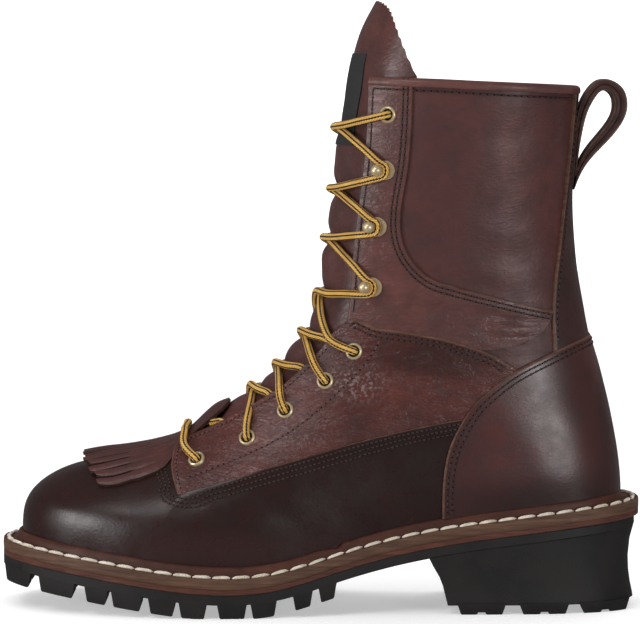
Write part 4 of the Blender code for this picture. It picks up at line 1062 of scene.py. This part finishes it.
inwards = unit(inner_bow - outer_bow + 1e-9)
bow_y = -middle + 9.0 * np.array((-1.0, -0.96, -0.9, -0.45, 0.0, 0.45, 0.9, 0.96, 1.0))
bow_cut = np.array((0.7, 0.25, 0.0, 0.0, 0.0, 0.0, 0.0, 0.25, 0.7))[:, None]
layer_share = np.array((0.42, 0.5, 0.58))[:, None]
layer_dip = np.array((0.0, 0.7, 0.0))
between_layers = outer_bow * (1.0 - layer_share) + inner_bow * layer_share
seen = np.concatenate((outer_bow + inwards * bow_cut, between_layers, inner_bow - inwards * bow_cut,
                       between_layers[:, ::-1]), axis=1)
loop_y = np.concatenate((bow_y, bow_y[-1] - layer_dip, bow_y[::-1], bow_y[0] + layer_dip))
sections = np.stack((seen[..., 0], np.broadcast_to(loop_y, seen.shape[:2]), seen[..., 1]), -1)
points, faces, kinds = loft(sections)
grain_side, cut_side, rough_side = [3, 3, 0, 0, 0, 0, 3, 3], [1] * 4, [3, 3, 2, 2, 2, 2, 3, 3]
kinds = (grain_side + cut_side + rough_side + cut_side) * (loop_sections - 1) + [1, 1]
loop_leather = leather_finish("loop leather", (0.045, 0.0185, 0.016), (0.066, 0.022, 0.019),
                              (0.024, 0.0115, 0.0105), grain=0.3, wrinkle=0.4, gloss=0.4)
loop_edge = edge_finish("loop cut edge", (0.072, 0.032, 0.026), (0.034, 0.016, 0.0135), 260.0, 0.5)
loop_rim = edge_finish("loop rim", (0.2, 0.12, 0.085), (0.09, 0.048, 0.036), 300.0, 0.6)
suede, tree, shader, nap = two_tone("rough inside", (0.05, 0.03, 0.024), (0.16, 0.095, 0.065),
                                    scale=260.0, roughness=0.9, low=0.3, high=0.7)
bumped(tree, shader, nap, 0.6, 0.0006)
finishes = [loop_leather, loop_edge, suede, loop_rim]
piece = add_piece("loop_strap", (points, faces, kinds), finishes, sharp=60.0)
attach(piece, "root")
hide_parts("pull_loop")


# Panel stitching: rows of short machine stitches along the edges of every panel, in dark brown thread, and in
# thread of the leather's own tone along the eyelets. Each stitch is a plump lens between two needle holes,
# drawn as small dark lenses of painted shade.
def height_on(panel, level, angle):
    """Height of a panel at its points nearest to some levels and angles of the outer side."""
    grid_level, grid_angle, grid_height = (np.ravel(part) for part in panel)
    by_level = millimetres[0] * (grid_level - np.asarray(level)[..., None])
    by_angle = millimetres[1] * (grid_angle - np.asarray(angle)[..., None])
    return grid_height[np.argmin(by_level ** 2 + by_angle ** 2, axis=-1)]


def seam(line, distance, panel, pitch, matched):
    """Stitches on a panel along a seam, set off to one side by a distance, in dark or in matched thread."""
    way = along_line(line)(np.linspace(0.0, 1.0, 400))
    level, angle = way[:, 0], way[:, 1]
    path, matrix = slopes(level, angle, step=0.01)
    shift = unit(np.cross(outward(level, angle), np.gradient(path, axis=0))) * distance
    turned = np.swapaxes(matrix, -1, -2)
    move = np.linalg.solve(turned @ matrix, turned @ shift[..., None])[..., 0]
    level, angle = level + move[:, 0], angle + move[:, 1]
    rest = height_on(panel, level, angle) + 0.08
    bodies = []
    for side in (1.0, -1.0):
        path = leather_skin(level, side * angle, rest)
        spots, along, at = spaced(path, pitch)
        pick = np.clip((at * (len(path) - 1)).round().astype(int), 0, len(path) - 1)
        out = outward(level, side * angle)[pick]
        rise, kind = (0.3, 2) if matched else (0.42, 0)
        points, faces, _ = thread_marks(spots, along, out, length=0.74 * pitch, width=1.05, rise=rise,
                                        sides=6, rings_each=5)
        bodies.append((points, faces, [kind] * len(faces)))
        # The needle holes between the stitches are small dark lenses of painted shade.
        holes = (spots[1:] + spots[:-1]) / 2.0
        points, faces, _ = thread_marks(holes, along[1:], out[1:], length=0.4 * pitch, width=0.95, rise=0.2,
                                        sides=4, rings_each=3)
        bodies.append((points, faces, [1] * len(faces)))
    return merge(bodies)


fine_scale = 300.0
thread_brown = two_tone("brown thread", (0.048, 0.028, 0.024), (0.027, 0.015, 0.0125), fine_scale,
                        roughness=0.6, specular=0.3)[0]
thread_red = two_tone("matched thread", (0.1, 0.042, 0.037), (0.07, 0.026, 0.023), fine_scale)[0]
# Painted shade: a near-black finish for the needle holes.
needle_hole_shade = two_tone("needle hole shade", (0.008, 0.005, 0.0045), (0.014, 0.0075, 0.0065), fine_scale,
                       roughness=0.8, specular=0.1)[0]
facing_levels = np.linspace(8.95, 12.72, 24)
facing_line = np.stack((facing_levels, throat(facing_levels)), -1)
quarter_row = np.concatenate((quarter_line[:-2], seen_line((88.4,), (118.0,))))
eyelet_row = seen_line((-63.0, -44.5, -28.0, -9.2, 7.2, 22.7, 28.3),
                       (62.8, 70.7, 78.0, 89.1, 103.2, 119.8, 129.2))
vamp_turn = seen_line((-70.4, -70.2, -69.0, -66.4, -62.4, -55.0), (72.0, 65.0, 60.0, 56.6, 56.2, 58.8))
vamp_row = np.concatenate((vamp_turn, vamp_line[1:7]))
collar_angles = np.linspace(float(throat(12.8)) + 0.05, math.pi - 0.3, 40)
collar_line = np.stack((dipped(12.79, collar_angles), collar_angles), -1)
stay_levels = np.linspace(7.9, 12.75, 24)
stay_line = np.stack((stay_levels, math.pi - stay_half(stay_levels)), -1)
counter_columns = np.linspace(counter_start + 0.004, math.pi, 60)
counter_front = np.stack((np.linspace(1.2, 5.0, 10), np.full(10, counter_start)), -1)
counter_rim = np.stack((counter_top(counter_reach(counter_columns)), counter_columns), -1)
counter_line = np.concatenate((counter_front, counter_rim))
rows = ((panel_line, (-2.2, -4.4), shaft_panel, 2.8, False),
        (quarter_row, (-2.2, -4.4), quarter_panel, 2.8, False),
        (vamp_row, (-1.9, -4.0, -6.1), vamp_panel, 2.2, False),
        (eyelet_row, (0.0,), quarter_panel, 2.8, True),
        (facing_line, (-2.6,), shaft_panel, 2.8, False),
        (quarter_edge[:-1], (-2.4,), quarter_panel, 2.4, True),
        (collar_line, (0.0,), shaft_panel, 3.3, False),
        (stay_line, (-2.2,), stay_panel, 2.8, False),
        (counter_line, (-2.4, -4.7), counter_panel, 2.8, False))
body = merge([seam(line, distance, panel, pitch, matched) for line, distances, panel, pitch, matched in rows
              for distance in distances])
piece = add_piece("panel_stitches", body, [thread_brown, needle_hole_shade, thread_red])
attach(piece, "root")


# Eyelets: brass tubes with a rolled flange, pressed through the facing, six on each side.
# The dark bottom of each hole is painted shade, standing for the shaded inside of the boot behind it.
def frame_on(level, angle):
    """Point on the last with the directions back, up and out."""
    back = unit(surface(level, angle + 0.03) - surface(level, angle - 0.03))
    out = outward(np.asarray(level), np.asarray(angle))
    return surface(level, angle), back, np.cross(out, back), out


def spokes(count, first, second):
    """Unit directions all round, in the plane of two directions."""
    turn = 2.0 * math.pi * np.arange(count)[:, None] / count
    return np.cos(turn) * first + np.sin(turn) * second


brass, tree, shader, mask = two_tone("brass", (0.84, 0.7, 0.46), (0.66, 0.52, 0.3), scale=400.0)
tree.links.new(spread(tree, mask, 0.0, 1.0, 0.32, 0.44), shader.inputs["Roughness"])
shader.inputs["Metallic"].default_value = 0.7
# Painted shade: a near-black finish for the bottom of each eyelet hole.
hole_shade = two_tone("eyelet hole shade", (0.006, 0.004, 0.004), (0.012, 0.008, 0.007), fine_scale,
                     roughness=0.9)[0]
eyelet_level, eyelet_angle = on_side((-58.0, -34.2, -16.2, 2.6, 16.1, 32.0),
                                     (71.7, 82.7, 95.7, 109.7, 123.7, 235.0))
eyelet_rest = np.append(height_on(quarter_panel, eyelet_level[:5], eyelet_angle[:5]), front_height)
flange = ((0.05, 0.1), (2.72, 0.1), (2.74, 0.5), (2.9, 0.85), (3.25, 1.05), (3.65, 0.9), (3.95, 0.55),
          (4.08, 0.15), (4.08, -0.8), (0.05, -0.8))
flange_sides = 36
for label, side in (("outer", 1.0), ("inner", -1.0)):
    for k in range(6):
        point, back, up, out = frame_on(eyelet_level[k], side * eyelet_angle[k])
        spoke = spokes(flange_sides, back, up)
        rest = eyelet_rest[k] + folds(point)
        points, faces, kinds = loft([point + spoke * radius + out * (rest + rise) for radius, rise in flange])
        # The bottom disc and the end caps of each eyelet take the painted shade.
        kinds[:flange_sides] = [1] * flange_sides
        kinds[-2:] = [1, 1]
        piece = add_piece(f"eyelet_{label}_ring_{k + 1}", (points, faces, kinds), [brass, hole_shade])
        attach(piece, "root")
        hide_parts(f"eyelet_{label}_{k + 1}")


# Hooks: brass ball hooks, each a dished base riveted to the shaft, a short bent stem and a round ball towards
# the throat. The lace is drawn in behind the ball.
hook_level, hook_angle = on_side((25.0, 27.2, 31.0), (154.0, 182.5, 209.0))
hook_base = ((0.1, 0.4), (4.6, 0.4), (4.6, 1.2), (4.3, 1.6), (3.5, 1.75), (2.6, 1.5), (0.1, 1.4))
hook_stem = ((1.7, 1.0, 1.7), (1.8, 2.0, 1.4), (2.0, 3.2, 1.25), (2.3, 4.4, 1.25), (2.6, 5.4, 1.25))
ball_radius = 2.75
for label, side in (("outer", 1.0), ("inner", -1.0)):
    for k in range(3):
        point, back, up, out = frame_on(hook_level[k], side * hook_angle[k])
        towards = -back * side
        spoke = spokes(28, back, up)
        base = loft([point + spoke * radius + out * rise for radius, rise in hook_base])
        round_stem = spokes(28, unit(np.cross(up, unit(out + towards * 0.2))), up)
        stem = loft([point + towards * shift + out * rise + radius * round_stem
                     for shift, rise, radius in hook_stem])
        ball_at = point + towards * 2.7 + out * 6.2
        ball = loft([ball_at + ball_radius * (math.sin(tilt) * spoke + math.cos(tilt) * out)
                     for tilt in np.linspace(0.02, math.pi - 0.02, 16)])
        piece = add_piece(f"hook_{label}_ball_{k + 1}", merge([base, stem, ball]), [brass])
        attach(piece, "root")
        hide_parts(f"hook_{label}_{k + 1}")


# Lace: one round braided cord, gold with dark lengthwise stripes. It starts as a bar over the flap, goes in
# at the first eyelets, crosses up through the others, runs round the hooks and ends inside the top eyelets.
holes = list(zip(eyelet_level.tolist(), eyelet_angle.tolist(), eyelet_rest.tolist()))
hooks = list(zip(hook_level.tolist(), hook_angle.tolist()))
edge_levels = np.linspace(5.8, 8.6, 300)
edge_points = surface(edge_levels, low_edge(edge_levels))
through_hole = (1.2, -1.2, -4.2)
round_hook = ((-1.7, -3.1), (0.2, -2.2), (0.9, 0.0), (0.2, 2.2), (-1.7, 3.1))
below_hole = (0.2, 0.06, 0.12, 0.15)
lace_radius = 1.82
hole_lift, hook_lift = 1.9, 3.4


def stop(level, angle, height):
    return skin(np.array(level), np.array(angle), np.array(height))


def beside_edge(level, angle):
    """Level of the facing's front edge nearest to a hole."""
    return float(edge_levels[np.argmin(np.linalg.norm(edge_points - surface(level, angle), axis=1))])


def leather_rise(level, angle):
    """Height of the leather under the lace: the facing, or the tongue between the facings."""
    if angle < float(low_edge(level) if level < 8.7 else throat(level)) - 0.02:
        across = angle / float(tongue_half(min(level, collar_end)))
        return float(tongue_depth(np.array(level), np.array(across)))
    return float(height_on(quarter_panel, [level], [angle])[0]) if level < 8.4 else front_height


def straight(start, end, shares, side, first, last, slack=(0.0, 0.0)):
    """Stops of the lace between two points: straight or a little slack, and clear of the leather."""
    made = []
    for share in shares:
        spot = start + (end - start) * share
        spot[[0, 2]] += 4.0 * share * (1.0 - share) * np.array(slack)
        height = first + (last - first) * share
        foot = spot
        for _ in range(5):
            level, angle = (float(part[0]) for part in on_side([foot[0]], [foot[2]]))
            height = max(height, leather_rise(level, angle) + 1.75)
            foot = spot - outward(np.array(level), np.array(angle)) * height
        made.append(stop(level, side * angle, height))
    return made


def strand(side, over):
    """Middle line of one half of the lace, from the middle of the bar to its end inside the top eyelet."""
    level, angle, rest = holes[0]
    path = [stop(6.28, 0.0, 2.5), stop(6.26, side * 0.1, 2.6), stop(6.16, side * 0.25, 3.3),
            stop(5.94, side * 0.46, 4.6), stop(5.5, side * 0.69, leather_rise(5.5, 0.69) + hole_lift)]
    path += [stop(level, side * angle, rest + h) for h in through_hole]
    for k, (at, _) in enumerate(crossings):
        on_tongue = float(tongue_depth(np.array(at), np.array(0.0))) + 1.1 + (2.7 if over else 0.0)
        top = stop(at, 0.0, on_tongue)
        if k == 0:
            start = beside_edge(level, angle) + 0.05
            path.append(stop(start, side * (float(low_edge(start)) + 0.05), -3.6))
        elif k < 5:
            slack = (-5.5, -4.5) if k == 4 else (-1.0, -1.1)
            lift = rest + hole_lift
            start = stop(level, angle, lift)
            path += straight(start, top, (0.25, 0.5, 0.78), side, lift, on_tongue, slack)
        else:
            path += straight(hook_exit, top, (0.3, 0.6, 0.82), side, 3.6, on_tongue)
        path.append(top)
        side = -side
        over = not over
        if k < 4:
            level, angle, rest = holes[k + 1]
            end = beside_edge(level, angle) - below_hole[k]
            end_angle = float(low_edge(end))
            path += straight(top, surface(end, end_angle), (0.4, 0.75), side, on_tongue, -1.6)
            path.append(stop(end, side * (end_angle - 0.02), -1.6))
            path += [stop(level, side * angle, rest + h) for h in (-4.2, -1.2, 0.9)]
        elif k < 7:
            level, angle = hooks[k - 4]
            turns = []
            for hand in (1.0, side):
                point, back, up, out = frame_on(np.array(level), np.array(hand * angle))
                turns.append([point + back * hand * reach + up * climb + out * hook_lift
                              for reach, climb in round_hook])
            hook_exit = turns[0][-1]
            path += straight(top, turns[0][0], (0.2, 0.45, 0.72), side, on_tongue, hook_lift)
            path += turns[1]
        else:
            level, angle, rest = holes[5]
            lift = rest + hole_lift
            path += straight(top, stop(level, angle, lift), (0.2, 0.45, 0.72), side, on_tongue, lift)
            path += [stop(level, side * angle, rest + h) for h in (0.9, -1.2, -4.2)]
    return np.array(path)


def tube_along(path, radius, sides=14):
    """A closed round tube on a smooth line, with the ways round and along it as coordinates."""
    chord = np.concatenate(([0.0], np.cumsum(np.linalg.norm(np.diff(path, axis=0), axis=1) ** 0.5)))
    line = curve_through(chord, path)(np.linspace(0.0, chord[-1], 1500))
    run = lengths(line)
    way_along = np.linspace(0.0, run[-1], int(run[-1] / 0.9))
    line = points_at(line, run, way_along)
    ahead = unit(np.gradient(line, axis=0))
    across = unit(np.cross(ahead[0], (0.3, 0.2, 1.0)))
    loops = []
    for spot, way in zip(line, ahead):
        across = unit(across - way * np.dot(across, way))
        loops.append(spot + radius * spokes(sides, across, np.cross(way, across)))
    grid = np.stack(np.meshgrid(np.arange(sides + 1) / sides, way_along), -1)
    corners = np.stack((grid[:-1, :-1], grid[:-1, 1:], grid[1:, 1:], grid[1:, :-1]), 2)
    caps = np.zeros((2 * sides, 2))
    return loft(loops), np.concatenate((corners.reshape(-1, 2), caps))


halves = [tube_along(strand(side, over), lace_radius) for side, over in ((1.0, False), (-1.0, True))]
points, faces, _ = merge([body for body, _ in halves])
mesh = bpy.data.meshes.new("lace")
mesh.from_pydata((points * 0.001).tolist(), [], faces)
braid_map = mesh.uv_layers.new(name="braid")
braid_ways = np.concatenate([corners for _, corners in halves]).astype(np.float32)
braid_map.data.foreach_set("uv", braid_ways.ravel())
mesh.shade_smooth()
stripes, plait_length = 5.0, 1.5
cord, tree, shader = new_finish("braided cord", roughness=0.55)
on_cord = add(tree, "ShaderNodeUVMap", uv_map="braid").outputs["UV"]
braid = add(tree, "ShaderNodeSeparateXYZ", {"Vector": on_cord}).outputs
stripe_turn = sums(tree, "MULTIPLY", sums(tree, "MULTIPLY", braid["X"], stripes), 2.0 * math.pi)
plait_turn = sums(tree, "MULTIPLY", braid["Y"], 2.0 * math.pi / plait_length)
stripe_wave = sums(tree, "COSINE", stripe_turn)
ragged = sums(tree, "MULTIPLY_ADD", sums(tree, "SINE", plait_turn), 0.22, stripe_wave)
stripe = spread(tree, ragged, 0.3, 0.6)
plait = sums(tree, "SINE", sums(tree, "MULTIPLY_ADD", stripe_turn, 2.0, plait_turn))
# Painted shade in the braid's grooves: the gold darkens in the troughs of the plait.
groove_shade = spread(tree, plait, -1.0, 0.4, 0.75, 0.0)
tone_and_groove_shade = sums(tree, "MULTIPLY_ADD", cloud_mask(tree, 150.0), 0.35, groove_shade)
gold = mixed(tree, tone_and_groove_shade, (0.95, 0.6, 0.15), (0.55, 0.25, 0.035))
tree.links.new(mixed(tree, stripe, gold, (0.02, 0.011, 0.008)), shader.inputs["Base Color"])
bumped(tree, shader, plait, 0.7)
mesh.materials.append(cord)
lace = bpy.data.objects.new("lace", mesh)
bpy.context.scene.collection.objects.link(lace)
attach(lace, "root")
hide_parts("lace_bar", "lace_crossing_1", "lace_crossing_2", "lace_crossing_3", "lace_crossing_4",
            "lace_hook_run")


# Stage: a plain pale floor and soft studio light from large panels, with the camera a little above the boot's
# middle at its outer side. Floor and air are bright where the camera sees them and dim as light on the boot.
def add_sheet(name, corners, finish):
    """A flat sheet of the stage, which the boot doesn't mirror."""
    mesh = bpy.data.meshes.new(name)
    mesh.from_pydata(corners, [], [(0, 1, 2, 3)])
    mesh.materials.append(finish)
    sheet = bpy.data.objects.new(name, mesh)
    sheet.visible_glossy = False
    bpy.context.scene.collection.objects.link(sheet)
    return sheet


def seen_or_lit(tree, dim, bright):
    """A tone for what the camera sees, and a dim one for the light that falls on the boot."""
    return mixed(tree, add(tree, "ShaderNodeLightPath").outputs["Is Camera Ray"], dim, bright)


floor_paper, tree, shader = new_finish("pale floor", 0.9, 0.0)
tone = mixed(tree, cloud_mask(tree, 3.0), (0.86, 0.86, 0.86), (0.84, 0.84, 0.84))
tree.links.new(tone, shader.inputs["Base Color"])
tree.links.new(seen_or_lit(tree, (0.28, 0.28, 0.28), tone), shader.inputs["Emission Color"])
shader.inputs["Emission Strength"].default_value = 0.5
wall_paper, tree, shader = new_finish("lit back wall")
tone = mixed(tree, cloud_mask(tree, 3.0), (1.0, 1.0, 1.0), (0.98, 0.98, 0.98))
tree.links.new(tone, shader.inputs["Base Color"])
tree.links.new(tone, shader.inputs["Emission Color"])
shader.inputs["Emission Strength"].default_value = 0.8
floor = add_sheet("floor", [(-6.0, -4.0, 0.0), (6.0, -4.0, 0.0), (6.0, 8.0, 0.0), (-6.0, 8.0, 0.0)],
                  floor_paper)
back_wall = add_sheet("back_wall", [(-4.0, 3.0, -0.1), (4.0, 3.0, -0.1), (4.0, 3.0, 3.0), (-4.0, 3.0, 3.0)],
                      wall_paper)
scene = bpy.context.scene
world = bpy.data.worlds.new("studio")
scene.world = world
world.use_nodes = True
tree = world.node_tree
air = seen_or_lit(tree, (0.14, 0.14, 0.14), (0.95, 0.95, 0.95))
tree.links.new(air, tree.nodes["Background"].inputs["Color"])
lit_point = Vector((0.0, 0.0, 0.12))
for name, kind, place, size, power in (("dome", "SUN", (0.0, 0.6, 2.6), 1.4, 1.6),
                                       ("left", "AREA", (-1.37, -0.8, 0.3), 0.6, 10.0),
                                       ("right", "AREA", (1.02, -1.4, 0.27), 0.55, 8.0),
                                       ("upper", "AREA", (-0.65, -0.9, 1.15), 0.5, 4.0)):
    lamp = bpy.data.lights.new(name, kind)
    lamp.energy = power
    setattr(lamp, "angle" if kind == "SUN" else "size", size)
    lamp_object = bpy.data.objects.new(name, lamp)
    lamp_object.location = place
    lamp_object.rotation_mode = "QUATERNION"
    lamp_object.rotation_quaternion = (lit_point - Vector(place)).to_track_quat("-Z", "Y")
    lamp_object.visible_glossy = kind != "SUN"
    scene.collection.objects.link(lamp_object)
aim = Vector((0.0, 0.0, 0.14))
elevation = math.radians(3.75)
camera_distance = 1.6
camera = bpy.data.objects.new("camera", bpy.data.cameras.new("camera"))
scene.collection.objects.link(camera)
camera.data.sensor_width = 36.0
camera.data.lens = 187.2
camera.location = aim + Vector((0.0, -math.cos(elevation), math.sin(elevation))) * camera_distance
camera.rotation_mode = "QUATERNION"
camera.rotation_quaternion = (aim - camera.location).to_track_quat("-Z", "Y")
scene.camera = camera
scene.view_settings.view_transform = "Standard"
